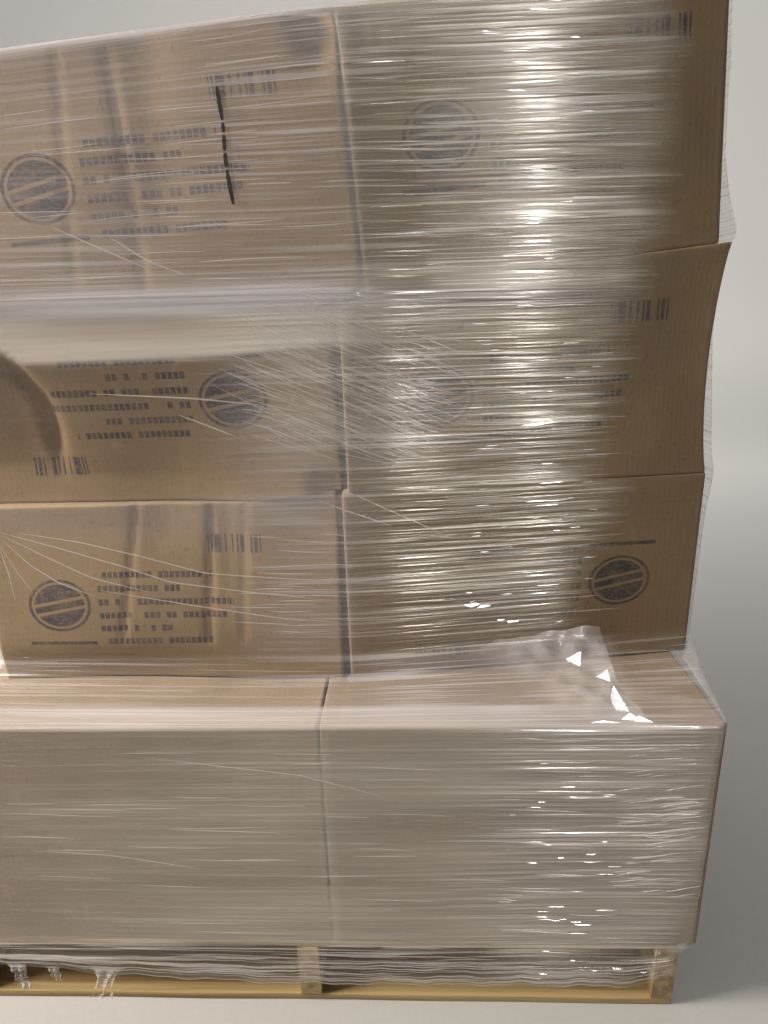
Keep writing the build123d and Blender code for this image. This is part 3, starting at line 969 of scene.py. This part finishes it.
film_plastic, film_tree, film_surface = new_material("film_plastic")
wound = shader_node(film_tree, "ShaderNodeUVMap", uv_map="winding").outputs[0]
painted = shader_node(film_tree, "ShaderNodeAttribute", attribute_name="film_state")
state = shader_node(film_tree, "ShaderNodeSeparateColor", {0: painted.outputs["Color"]})
ridged_here, haze_and_painted_light_here, skin_here = state.outputs[:3]
cords = speckle(wound, (3.0, 215.0, 1.0), 0.0, dimensions="2D")
threads = speckle(wound, (6.0, 470.0, 1.0), 0.0, dimensions="2D")
relief = plus(times(cords, 1.05), times(threads, 0.42))
add_bump(film_surface, times(relief, ridged_here), 1.0, distance=0.001)
drawn = band(cords, 0.60, 0.76)
drawn = maths("MAXIMUM", drawn, band(threads, 0.58, 0.74, 0.0, 0.8))
cover = plus(haze_and_painted_light_here, times(times(drawn, ridged_here), 0.45))
cover = maths("MINIMUM", plus(cover, skin_here), 0.9)
join(cover, film_surface, "Alpha")
tinted = tone(painted.outputs["Alpha"], (0.78, 0.74, 0.80, 1), (0.85, 0.78, 0.68, 1))
join(tinted, film_surface, "Base Color")
join(band(threads, 0.35, 0.65, 0.26, 0.12), film_surface, "Roughness")
film_surface.inputs["Metallic"].default_value = 0.12


def paint_film(piece, layout, looks):
    """Gives a piece of film its winding coordinates, one pair a corner, and its look, four values a point."""
    layer = piece.data.uv_layers.new(name="winding")
    layer.data.foreach_set("uv", np.asarray(layout).ravel().astype(np.float32))
    state = piece.data.attributes.new("film_state", "FLOAT_COLOR", "POINT")
    state.data.foreach_set("color", np.clip(looks, 0, 2).ravel().astype(np.float32))
    piece.visible_shadow = False
    piece.visible_diffuse = False
    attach(piece, "root")


film = add_piece("film_wound", film_grid.reshape(-1, 3), film_faces, [film_plastic])
loops = np.zeros(len(film.data.loops), dtype=np.int64)
film.data.loops.foreach_get("vertex_index", loops)
waver = 0.010 * (drift(around_u, up_v, 0.45, 0.16, 21) - 0.5)
loop_u = winding[loops % column_count].reshape(-1, 4)
wrapped = loop_u.max(1) - loop_u.min(1) > 1.0
loop_u[wrapped] = np.where(loop_u[wrapped] < 1.0, loop_u[wrapped] + travelled, loop_u[wrapped])
loop_v = (up_v + waver).ravel()[loops]
looks = np.stack([ridged, haze_and_painted_light, skin, warmth_and_lit_strip], axis=2)
paint_film(film, np.stack([loop_u.ravel(), loop_v], axis=1), looks)
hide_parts("stretch_film")

# Slanting turn and pleats: over the seam of the second row the last turn of film runs down to the right.
# Where the tension gathers the film, narrow folds stand up and catch the light.
front_count = int((edges < 2).sum())
mid_front = column_count // 9
front_heights = film_grid[: row_count - fold_rows, mid_front, 2]


def on_film(u, v):
    """Points on the film, and its outward direction there, from the way along the winding and up it."""
    row = np.clip(np.interp(v, profile, np.arange(row_count)), 0, row_count - 1.001)
    column = np.interp(np.mod(u, travelled), winding, np.arange(column_count))
    column = np.clip(column, 0, column_count - 1.001)
    i = row.astype(int)
    j = column.astype(int)
    a = (row - i)[..., None]
    b = (column - j)[..., None]
    point = (film_grid[i, j] * (1 - b) + film_grid[i, j + 1] * b) * (1 - a)
    point = point + (film_grid[i + 1, j] * (1 - b) + film_grid[i + 1, j + 1] * b) * a
    return point, outward[i, j]


def from_front(x, z):
    """Where a place on the front, across and up, lies along the winding and up it."""
    xs, zs = np.broadcast_arrays(np.asarray(x, dtype=float), np.asarray(z, dtype=float))
    rows = np.interp(zs.ravel(), front_heights, np.arange(len(front_heights))).astype(int)
    us = [
        np.interp(value, film_grid[row, :front_count, 0], winding[:front_count])
        for value, row in zip(xs.ravel(), rows)
    ]
    return np.array(us).reshape(xs.shape), np.interp(zs, front_heights, profile[: len(front_heights)])


def sheet_faces(rows, columns, start=0):
    """The quads of a grid of points, whose first point has the number start."""
    faces = []
    for i in range(rows - 1):
        for j in range(columns - 1):
            a = start + i * columns + j
            faces.append((a, a + 1, a + columns + 1, a + columns))
    return faces


fan_rows = 60
fan_columns = 44
fan_x, fan_z = np.meshgrid(np.linspace(-0.075, 0.245, fan_columns), np.linspace(0.735, 1.0, fan_rows))
fan_u, fan_v = from_front(fan_x, fan_z)
fan_points, fan_away = on_film(fan_u, fan_v)
fan_points = fan_points + fan_away * 0.0006
fan_faces = sheet_faces(fan_rows, fan_columns)
fan_turn = math.radians(22)
fan_along = fan_u * math.cos(fan_turn) - fan_v * math.sin(fan_turn)
fan_up = fan_u * math.sin(fan_turn) + fan_v * math.cos(fan_turn)
fan_map = np.stack([fan_along, fan_up], axis=2).reshape(-1, 2)
weight = np.exp(-(((fan_x - 0.085) / 0.115) ** 4) - (((fan_z - 0.868) / 0.108) ** 4))
weight = weight * ease(fan_x, -0.075, -0.03) * ease(fan_x, 0.245, 0.21)
fan_milk = 0.10 * weight * (0.5 + drift(fan_along, np.mod(fan_up, 1.2), 0.2, 0.02, 31))
fan_looks = np.stack([0.35 * weight, fan_milk, np.zeros(weight.shape), np.full(weight.shape, 0.6)], axis=2)
slanting = add_piece("film_slanting_turn", fan_points.reshape(-1, 3), fan_faces, [film_plastic])
paint_film(slanting, fan_map[np.array(fan_faces).ravel()], fan_looks)
pleat_points = []
pleat_faces = []
pleat_uv = []


def lay_pleat(us, vs, width, tall):
    """A narrow fold along a line on the film, tapering to nothing at both ends."""
    length = float(np.hypot(np.diff(us), np.diff(vs)).sum())
    stops = np.linspace(0, len(us) - 1, max(4, round(length / 0.008)) + 1)
    knots_at = np.arange(len(us))
    u = np.interp(stops, knots_at, us)
    v = np.interp(stops, knots_at, vs)
    for smoothing in range(2):
        v[1:-1] = (v[:-2] + 2 * v[1:-1] + v[2:]) / 4
    share = np.linspace(0, 1, len(u))
    taper = np.sin(np.pi * np.clip(share, 0.02, 0.98)) ** 0.5
    slope = np.arctan2(np.gradient(v), np.gradient(u))
    for side, lift in ((-1, 0.00012), (0, tall), (1, 0.00012)):
        offset = side * width * taper / 2
        point, away = on_film(u - np.sin(slope) * offset, v + np.cos(slope) * offset)
        pleat_points.append(point + away * (lift * np.where(side == 0, taper, 1.0) + 0.0003)[:, None])
        pleat_uv.append(np.stack([u, v + offset], axis=1))
    start = sum(len(part) for part in pleat_points) - 3 * len(u)
    for step in range(len(u) - 1):
        for lane in range(2):
            a = start + lane * len(u) + step
            pleat_faces.append((a, a + 1, a + len(u) + 1, a + len(u)))


drawn_pleats = [
    ([-0.384, -0.31, -0.23, -0.167, -0.062, 0.052], [0.681, 0.658, 0.631, 0.607, 0.591, 0.577]),
    ([-0.381, -0.332, -0.274, -0.198], [0.676, 0.647, 0.615, 0.593]),
    ([-0.385, -0.355, -0.319, -0.274], [0.671, 0.635, 0.608, 0.588]),
    ([-0.39, -0.377, -0.36], [0.664, 0.631, 0.598]),
    ([-0.391, -0.386, -0.385], [0.66, 0.621, 0.584]),
    ([-0.36, -0.281, -0.204, -0.119, -0.019, 0.06], [0.68, 0.666, 0.645, 0.619, 0.61, 0.606]),
    ([-0.266, -0.132, -0.024, 0.057], [0.597, 0.571, 0.552, 0.545]),
    ([-0.236, -0.112, -0.026], [0.859, 0.850, 0.840]),
    ([0.038, 0.084, 0.131], [0.717, 0.698, 0.678]),
    ([0.073, 0.14, 0.204], [0.729, 0.694, 0.659]),
    ([-0.127, -0.061], [0.83, 0.802]),
    ([-0.182, -0.14, -0.1], [1.035, 1.007, 0.992]),
    ([-0.245, -0.196, -0.146], [1.047, 1.024, 1.001]),
    ([-0.185, 0.01, 0.115], [0.417, 0.39, 0.356]),
    ([-0.362, -0.254, -0.135], [0.271, 0.263, 0.241]),
    ([0.427, 0.459, 0.514], [0.302, 0.292, 0.305]),
    ([0.336, 0.394], [0.355, 0.355]),
    ([0.321, 0.395], [0.331, 0.329]),
    ([0.306, 0.378], [0.284, 0.282]),
    ([0.308, 0.394], [0.234, 0.232]),
    ([0.247, 0.393], [0.141, 0.131]),
]
for xs, zs in drawn_pleats:
    us, vs = from_front(xs, zs)
    lay_pleat(us, vs, 0.0019, 0.0007)
pleat_chance = np.random.default_rng(23)


def scatter_pleats(count, x_range, z_range, length_range, slope, slope_spread, width=0.0014, within=None):
    """Folds at random places of a part of the front, all slanting about the same way."""
    laid = 0
    while laid < count:
        x = pleat_chance.uniform(*x_range)
        z = pleat_chance.uniform(*z_range)
        if within and not within(x, z):
            continue
        half = pleat_chance.uniform(*length_range) / 2
        lean = pleat_chance.normal(slope, slope_spread)
        bow = pleat_chance.normal(0, 0.0008)
        xs = np.array([x - half, x - half / 2, x, x + half / 2, x + half])
        zs = z + lean * (xs - x) + bow * np.array([0, 1, 1.3, 1, 0])
        us, vs = from_front(xs, zs)
        lay_pleat(us, vs, width * pleat_chance.uniform(0.7, 1.3), 0.00060 * pleat_chance.uniform(0.6, 1.5))
        laid += 1


def in_fan(x, z):
    """Whether a place on the front lies under the slanting turn."""
    return ((x - 0.075) / 0.115) ** 2 + ((z - 0.865) / 0.105) ** 2 < 1


scatter_pleats(210, (-0.04, 0.21), (0.76, 0.98), (0.03, 0.12), -0.42, 0.09, width=0.0010, within=in_fan)
scatter_pleats(120, (0.10, 0.38), (0.53, 1.24), (0.06, 0.20), -0.004, 0.010)
scatter_pleats(60, (0.28, 0.40), (0.53, 1.24), (0.05, 0.13), -0.002, 0.008)
scatter_pleats(26, (-0.12, 0.06), (0.98, 1.23), (0.04, 0.14), 0.0, 0.02)
scatter_pleats(16, (-0.30, -0.06), (0.99, 1.20), (0.05, 0.16), 0.02, 0.03, width=0.0012)
scatter_pleats(22, (-0.06, 0.06), (0.50, 0.72), (0.04, 0.10), -0.02, 0.03)
scatter_pleats(34, (-0.38, 0.24), (0.13, 0.44), (0.05, 0.16), -0.02, 0.025, width=0.0012)
scatter_pleats(34, (0.26, 0.44), (0.12, 0.45), (0.04, 0.10), -0.01, 0.015)
scatter_pleats(75, (0.42, 0.51), (0.20, 0.43), (0.02, 0.07), 0.13, 0.07, width=0.0018)
scatter_pleats(90, (-0.46, 0.48), (0.055, 0.108), (0.06, 0.20), 0.0, 0.012)
# folds round the sides and the back, of which only a few lie on the right side
front_end = 1.0
right_side_end = 2.06
for fold in range(260):
    u = pleat_chance.uniform(front_end + 0.02, travelled - 0.02)
    v = pleat_chance.uniform(0.03, climbed - 0.01)
    half = pleat_chance.uniform(0.03, 0.12)
    lean = pleat_chance.normal(0, 0.02)
    us = np.array([u - half, u, u + half])
    left_out = u < right_side_end and pleat_chance.uniform() > 0.15
    if us[0] < front_end or us[-1] > travelled - 0.005 or left_out:
        continue
    lay_pleat(us, v + lean * (us - u), 0.0016, 0.0005)
pleats = add_piece("film_pleats", np.concatenate(pleat_points), pleat_faces, [film_plastic])
pleat_map = np.concatenate(pleat_uv)
pleat_looks = np.tile([0.05, 0.62, 0.0, 0.6], (len(pleat_map), 1))
paint_film(pleats, pleat_map[np.array(pleat_faces).ravel()], pleat_looks)

# Loose film: a flap of the last turn lies crumpled on the step in front of the right column, creased bits of
# film glint on the steps, and three torn tails hang from the lower edge, one of them down to the floor.
flap_right = np.array(
    [
        (0.4150, -0.4655, 0.5080),
        (0.4195, -0.4750, 0.4900),
        (0.4190, -0.4925, 0.4800),
        (0.4164, -0.5387, 0.4690),
        (0.4209, -0.5580, 0.4660),
        (0.4387, -0.6125, 0.4620),
    ]
)
flap_left = np.array(
    [
        (0.2000, -0.4950, 0.4860),
        (0.2300, -0.5050, 0.4800),
        (0.2550, -0.5200, 0.4740),
        (0.2850, -0.5450, 0.4670),
        (0.3100, -0.5800, 0.4640),
        (0.3500, -0.6125, 0.4620),
    ]
)
flap_chance = np.random.default_rng(5)
flap_rows = 46
flap_columns = 60


def sheet_shares(rows, columns):
    """How far down and how far along a sheet each point of its grid lies, from 0 to 1."""
    return np.meshgrid(np.linspace(0, 1, rows), np.linspace(0, 1, columns), indexing="ij")


down_share, along_share = sheet_shares(flap_rows, flap_columns)
flap_grid = np.zeros((flap_rows, flap_columns, 3))
for axis in range(3):
    left_line = np.interp(down_share, np.linspace(0, 1, len(flap_left)), flap_left[:, axis])
    right_line = np.interp(down_share, np.linspace(0, 1, len(flap_right)), flap_right[:, axis])
    flap_grid[:, :, axis] = left_line + (right_line - left_line) * along_share
crumple = np.zeros(down_share.shape)
for wave in range(9):
    turn = flap_chance.uniform(0, math.pi)
    pitch = flap_chance.uniform(60, 230)
    run = flap_grid[:, :, 0] * math.cos(turn) + flap_grid[:, :, 1] * math.sin(turn)
    zigzag = np.abs(np.mod(run * pitch / math.tau + flap_chance.uniform(0, 1), 1) - 0.5)
    crumple += zigzag * (0.32 / pitch) * 2
flap_grid[:, :, 2] += crumple * ease(along_share, 0.0, 0.4) * ease(down_share, 1.0, 0.85)


def lay_loose_film(name, grid, looks):
    """A sheet of loose film from a grid of points and its look at each of them."""
    faces = sheet_faces(*grid.shape[:2])
    sheet = add_piece(name, grid.reshape(-1, 3), faces, [film_plastic])
    spots = np.stack([grid[:, :, 0] * 0.7 + grid[:, :, 1] * 0.3, grid[:, :, 2] + grid[:, :, 1]], axis=2)
    paint_film(sheet, spots.reshape(-1, 2)[np.array(faces).ravel()], looks)


flap_milk = 0.34 * ease(along_share, 0.0, 0.55) * (0.55 + 0.81 * crumple / crumple.max())
flat_look = np.zeros(crumple.shape)
flap_looks = np.stack([0.35 * along_share, flap_milk, flat_look, flat_look + 0.35], axis=2)
lay_loose_film("film_flap", flap_grid, flap_looks)
glint_points = []
glint_faces = []
glint_corners = [
    # the creased bits of the flap, as triangles
    ((0.3853, -0.4842, 0.4860), (0.3620, -0.4965, 0.4810), (0.3800, -0.5045, 0.4740)),
    ((0.4140, -0.5110, 0.4735), (0.3965, -0.5225, 0.4695), (0.4118, -0.5350, 0.4700)),
    ((0.4133, -0.5440, 0.4690), (0.4032, -0.5650, 0.4650), (0.4020, -0.5905, 0.4625)),
    ((0.4133, -0.5440, 0.4690), (0.4020, -0.5905, 0.4625), (0.4175, -0.5935, 0.4640)),
    ((0.4180, -0.5960, 0.4640), (0.4040, -0.6060, 0.4625), (0.4260, -0.6100, 0.4630)),
    ((0.4260, -0.6010, 0.4640), (0.4180, -0.6110, 0.4625), (0.4400, -0.6125, 0.4625)),
    ((0.3830, -0.6090, 0.4625), (0.3650, -0.6120, 0.4620), (0.4010, -0.6125, 0.4620)),
]
# the camera's place to the millimetre, and those of the two strip lamps that bits of film throw at it
eye = np.array([0.157, -1.289, 0.943])
strip_thin_at = (1.42, -2.6, 1.25)
strip_low_at = (0.75, -2.6, 0.26)


def facing_lamp(place):
    """The direction that a bit of film at a place faces when it throws a strip lamp at the camera."""
    lamp_at = np.array(strip_thin_at if place[2] > 0.45 else strip_low_at)
    toward_eye = (eye - place) / np.linalg.norm(eye - place)
    toward_strip = (lamp_at - place) / np.linalg.norm(lamp_at - place)
    half_way = toward_eye + toward_strip + flap_chance.normal(0, 0.03, 3)
    return half_way / np.linalg.norm(half_way)


for corners in glint_corners:
    start = len(glint_points)
    corners = np.array(corners) + np.array([0.0, -0.002, 0.004])
    centre = corners.mean(0)
    faces_to = facing_lamp(centre)
    sight = corners - eye
    glint_points.extend(eye + sight * ((centre - eye) @ faces_to / (sight @ faces_to))[:, None])
    glint_faces.append((start, start + 1, start + 2))
glint_spots = [
    # where, across and up, and half the width and height of each creased bit
    (0.236, 0.5600, 0.01040, 0.004200),
    (0.252, 0.5560, 0.00960, 0.002100),
    (0.292, 0.5300, 0.01040, 0.001540),
    (0.276, 0.5340, 0.00720, 0.001120),
    (0.232, 0.5790, 0.00480, 0.001540),
    (-0.1772, 0.6905, 0.00198, 0.000484),
    (-0.1731, 0.6528, 0.00198, 0.000572),
    (-0.2941, 0.4715, 0.00306, 0.000484),
    (-0.2767, 0.4660, 0.00270, 0.000572),
    (-0.2870, 0.4662, 0.00162, 0.000396),
    (-0.1983, 0.4658, 0.00270, 0.000220),
    (-0.3860, 0.4960, 0.00450, 0.000660),
    (-0.3900, 0.4890, 0.00270, 0.000484),
    (-0.3660, 0.4880, 0.00324, 0.000528),
    (-0.3560, 0.4850, 0.00198, 0.000308),
    (-0.3840, 0.4668, 0.00630, 0.000528),
    (-0.3920, 0.4790, 0.00270, 0.000572),
]
for count, x_range, z_range, longest, thin in (
    (95, (0.24, 0.41), (0.52, 1.25), 0.020, 1.0),
    (34, (0.27, 0.42), (0.13, 0.43), 0.014, 0.5),
    (9, (0.30, 0.49), (0.07, 0.112), 0.010, 0.5),
):
    for sliver in range(count):
        x = flap_chance.uniform(*x_range)
        z = flap_chance.uniform(*z_range)
        wide = flap_chance.uniform(0.004, longest)
        glint_spots.append((x, z, wide, flap_chance.uniform(0.0003, 0.0008) * thin))
glint_sides = 7
for x, z, wide, high in glint_spots:
    turns = np.sort(flap_chance.uniform(0, math.tau, glint_sides))
    reach = flap_chance.uniform(0.6, 1.15, glint_sides)
    us, vs = from_front(x, z)
    point, away = on_film(us, vs)
    centre = point + away * 0.0025
    faces_to = facing_lamp(centre)
    aside = np.cross(away if high < 0.001 else faces_to, (0.0, 0.0, 1.0))
    aside /= np.linalg.norm(aside)
    upright = np.cross(aside, faces_to)
    start = len(glint_points)
    spread_out = (wide * reach * np.cos(turns))[:, None] * aside
    spread_out = spread_out + (high * reach * np.sin(turns))[:, None] * upright
    glint_points.extend(centre + spread_out)
    glint_faces.append([start + step for step in range(glint_sides)])
film_crease, _, crease_surface = new_material("film_crease")
for socket, value in (
    ("Base Color", (0.90, 0.89, 0.90, 1)),
    ("Roughness", 0.13),
    ("Metallic", 0.55),
    ("Alpha", 0.75),
):
    crease_surface.inputs[socket].default_value = value
glints = add_piece("film_creased_bits", glint_points, glint_faces, [film_crease], smooth=False)
glint_map = np.array(glint_points)[:, :2]
glint_loops = np.array([corner for face in glint_faces for corner in face])
paint_film(glints, glint_map[glint_loops], np.tile([0.0, 0.9, 0.0, 0.9], (len(glint_points), 1)))

tails = [
    # where it hangs, its width, and the heights of its top and its foot
    (-0.292, 0.046, 0.060, 0.001),
    (-0.425, 0.030, 0.066, 0.018),
    (-0.372, 0.018, 0.060, 0.034),
]
for number, (tail_x, tail_width, tail_top, tail_foot) in enumerate(tails):
    down_share, along_share = sheet_shares(26, 14)
    narrow = 1 - 0.55 * np.sin(down_share * 2.4) + 0.15 * down_share
    lean = -0.016 * down_share if number == 0 else 0.006 * down_share
    tail_grid_x = tail_x + lean + (along_share - 0.5) * tail_width * narrow
    fold_wave = 0.0035 * np.sin(along_share * 13 + down_share * 5 + number)
    fold_wave = fold_wave + 0.002 * np.sin(down_share * 17 + number)
    tail_grid_y = -0.6115 + 0.0025 * down_share + fold_wave * ease(down_share, 0, 0.3) + 0.002
    tail_grid_z = tail_top + (tail_foot - tail_top) * down_share
    tail_grid_z += 0.002 * np.sin(along_share * 9) * down_share
    tail_grid_z = np.maximum(tail_grid_z, 0.0005)
    grid = np.stack([tail_grid_x, tail_grid_y, tail_grid_z], axis=2)
    lay_loose_film(f"film_tail_{number + 1}", grid, np.tile([0.9, 0.28, 0.03, 0.5], (*lean.shape, 1)))

# Marker stroke: one stroke of a black felt marker on the film of the top row, broken where the marker
# jumped over the ridges of the film.
marker_ink, marker_tree, marker_surface = new_material("marker_ink")
marker_grain = speckle(own_place(marker_tree), (300.0, 300.0, 700.0), 2.0)
marker_colour = tone(marker_grain, (0.006, 0.006, 0.007, 1), (0.022, 0.020, 0.020, 1))
join(marker_colour, marker_surface, "Base Color")
join(band(marker_grain, 0.3, 0.7, 0.35, 0.55), marker_surface, "Roughness")
marker_x = [-0.0420, -0.0395, -0.0390, -0.0395, -0.0388, -0.0355]
marker_z = [1.174, 1.150, 1.139, 1.109, 1.095, 1.064]
marker_points = []
marker_faces = []
for top, foot in ((1.174, 1.1445), (1.1420, 1.1335), (1.1315, 1.1165), (1.1150, 1.1010), (1.0990, 1.0640)):
    heights = np.linspace(top, foot, max(3, round((top - foot) / 0.0025)))
    middle = np.interp(-heights, np.negative(marker_z), marker_x)
    share = np.linspace(0, 1, len(heights))
    width = 0.0019 * (1 - 0.45 * np.abs(2 * share - 1) ** 4) * (1 + 0.12 * np.sin(heights * 900))
    start = len(marker_points)
    for side in (-1, 1):
        us, vs = from_front(middle + side * 1.25 * width, heights)
        point, away = on_film(us, vs)
        marker_points.extend(point + away * 0.0016)
    marker_faces += sheet_faces(2, len(heights), start)
marker = add_piece("marker_stroke", marker_points, marker_faces, [marker_ink])
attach(marker, "root")

# Floor and backdrop: one plain pale sweep, flat under the load and curved up behind it. It belongs to the
# studio and isn't part of the load.
floor_material, floor_tree, floor_surface = new_material("floor_plain")
floor_where = own_place(floor_tree)
floor_grit = speckle(floor_where, (120.0, 120.0, 120.0), 4.0, 0.7)
floor_place = shader_node(floor_tree, "ShaderNodeSeparateXYZ", {0: floor_where})
floor_plain = tone(floor_grit, (0.40, 0.385, 0.36, 1), (0.48, 0.465, 0.44, 1))
floor_height = band(floor_place.outputs[2], 0.0, 0.8)
join(tone(floor_height, floor_plain, (0.88, 0.86, 0.83, 1)), floor_surface, "Base Color")
floor_surface.inputs["Roughness"].default_value = 0.8


def in_view(tree):
    """1 for the rays that show the surroundings to the camera, straight or through glossy or clear film."""
    rays = shader_node(tree, "ShaderNodeLightPath").outputs
    both = plus(rays["Is Camera Ray"], rays["Is Glossy Ray"])
    return plus(both, rays["Is Transmission Ray"], clamp=True)


further_back = band(floor_place.outputs[1], -0.6, 2.8)
pale_glow = tone(further_back, (0.10, 0.098, 0.094, 1), (0.30, 0.292, 0.28, 1))
join(tone(in_view(floor_tree), (0, 0, 0, 1), pale_glow), floor_surface, "Emission Color")
floor_surface.inputs["Emission Strength"].default_value = 1.0
floor_points = [(-14, -9, 0), (14, -9, 0)]
for step in range(13):
    turn = step / 12 * math.pi / 2
    y = 3.0 + math.sin(turn)
    z = 1.0 - math.cos(turn)
    floor_points += [(-14, y, z), (14, y, z)]
floor_points += [(-14, 4, 9), (14, 4, 9)]
floor = add_piece("floor", floor_points, sheet_faces(len(floor_points) // 2, 2), [floor_material])

# Light: a soft key from the upper left, three strip lamps at the right that only glossy film mirrors, a fill
# from behind and a plain grey surround that is brighter towards the left.
world = bpy.data.worlds.new("surround")
world.use_nodes = True
bpy.context.scene.world = world
sky_tree = world.node_tree
sky = sky_tree.nodes["Background"]
sky.inputs["Color"].default_value = (0.98, 0.96, 0.93, 1)
sky_place = shader_node(sky_tree, "ShaderNodeTexCoord").outputs["Generated"]
toward = shader_node(sky_tree, "ShaderNodeSeparateXYZ", {0: sky_place})
sideways = band(toward.outputs[0], -0.9, 0.05, 1.5, 0.03)
upwards = band(toward.outputs[2], -0.30, 0.95, 0.09, 0.50)
sky_light = times(sideways, upwards)
sky_seen = in_view(sky_tree)
sky_unseen = times(sky_light, maths("SUBTRACT", 1.0, sky_seen))
sky_strength = plus(sky_unseen, times(sky_seen, 0.5))
join(sky_strength, sky, "Strength")


def add_lamp(name, at, aim, width, tall, power, colour, only_gloss=False):
    """A rectangular area lamp at a point, turned towards another. With only_gloss it shows in gloss alone."""
    lamp = bpy.data.lights.new(name, "AREA")
    lamp.shape = "RECTANGLE"
    lamp.size = width
    lamp.size_y = tall
    lamp.energy = power
    lamp.color = colour
    holder = bpy.data.objects.new(name, lamp)
    holder.location = at
    holder.visible_diffuse = not only_gloss
    holder.rotation_euler = (Vector(aim) - Vector(at)).to_track_quat("-Z", "Y").to_euler()
    bpy.context.scene.collection.objects.link(holder)


add_lamp("key", (-2.05, -0.90, 2.2), (-0.1, -0.45, 0.75), 0.7, 0.7, 109, (1.0, 0.935, 0.84))
add_lamp("strip_wide", (1.22, -2.6, 1.25), (0.33, -0.46, 0.9), 0.60, 2.3, 11, (1.0, 0.97, 0.95), True)
add_lamp("strip_thin", strip_thin_at, (0.33, -0.46, 0.9), 0.07, 2.3, 12, (1.0, 0.98, 0.95), True)
add_lamp("strip_low", strip_low_at, (0.31, -0.6, 0.3), 0.30, 0.46, 8, (1.0, 0.98, 0.95), True)
add_lamp("back_fill", (0.4, 3.4, 2.6), (0.0, 0.6, 0.7), 1.8, 1.8, 50, (1.0, 0.97, 0.94))

# Camera: it stands where the photo was taken from, close in front of the load and a little above its middle,
# and looks slightly down. The lens and the three directions come from fitting the cartons' edges.
lens = bpy.data.cameras.new("camera")
lens.sensor_fit = "VERTICAL"
lens.sensor_height = 36.0
lens.sensor_width = 27.0
lens.lens = 22.786
camera = bpy.data.objects.new("camera", lens)
right = Vector((0.99889417, 0.03496979, -0.03142545))
down = Vector((-0.0197233, -0.29506629, -0.9552732))
ahead = Vector((-0.04267829, 0.95483664, -0.29405027))
turn = Matrix((right, -down, -ahead)).transposed().to_4x4()
camera.matrix_world = Matrix.Translation((0.15707, -1.28929, 0.943055)) @ turn
bpy.context.scene.collection.objects.link(camera)
bpy.context.scene.camera = camera
bpy.context.scene.view_settings.view_transform = "Standard"
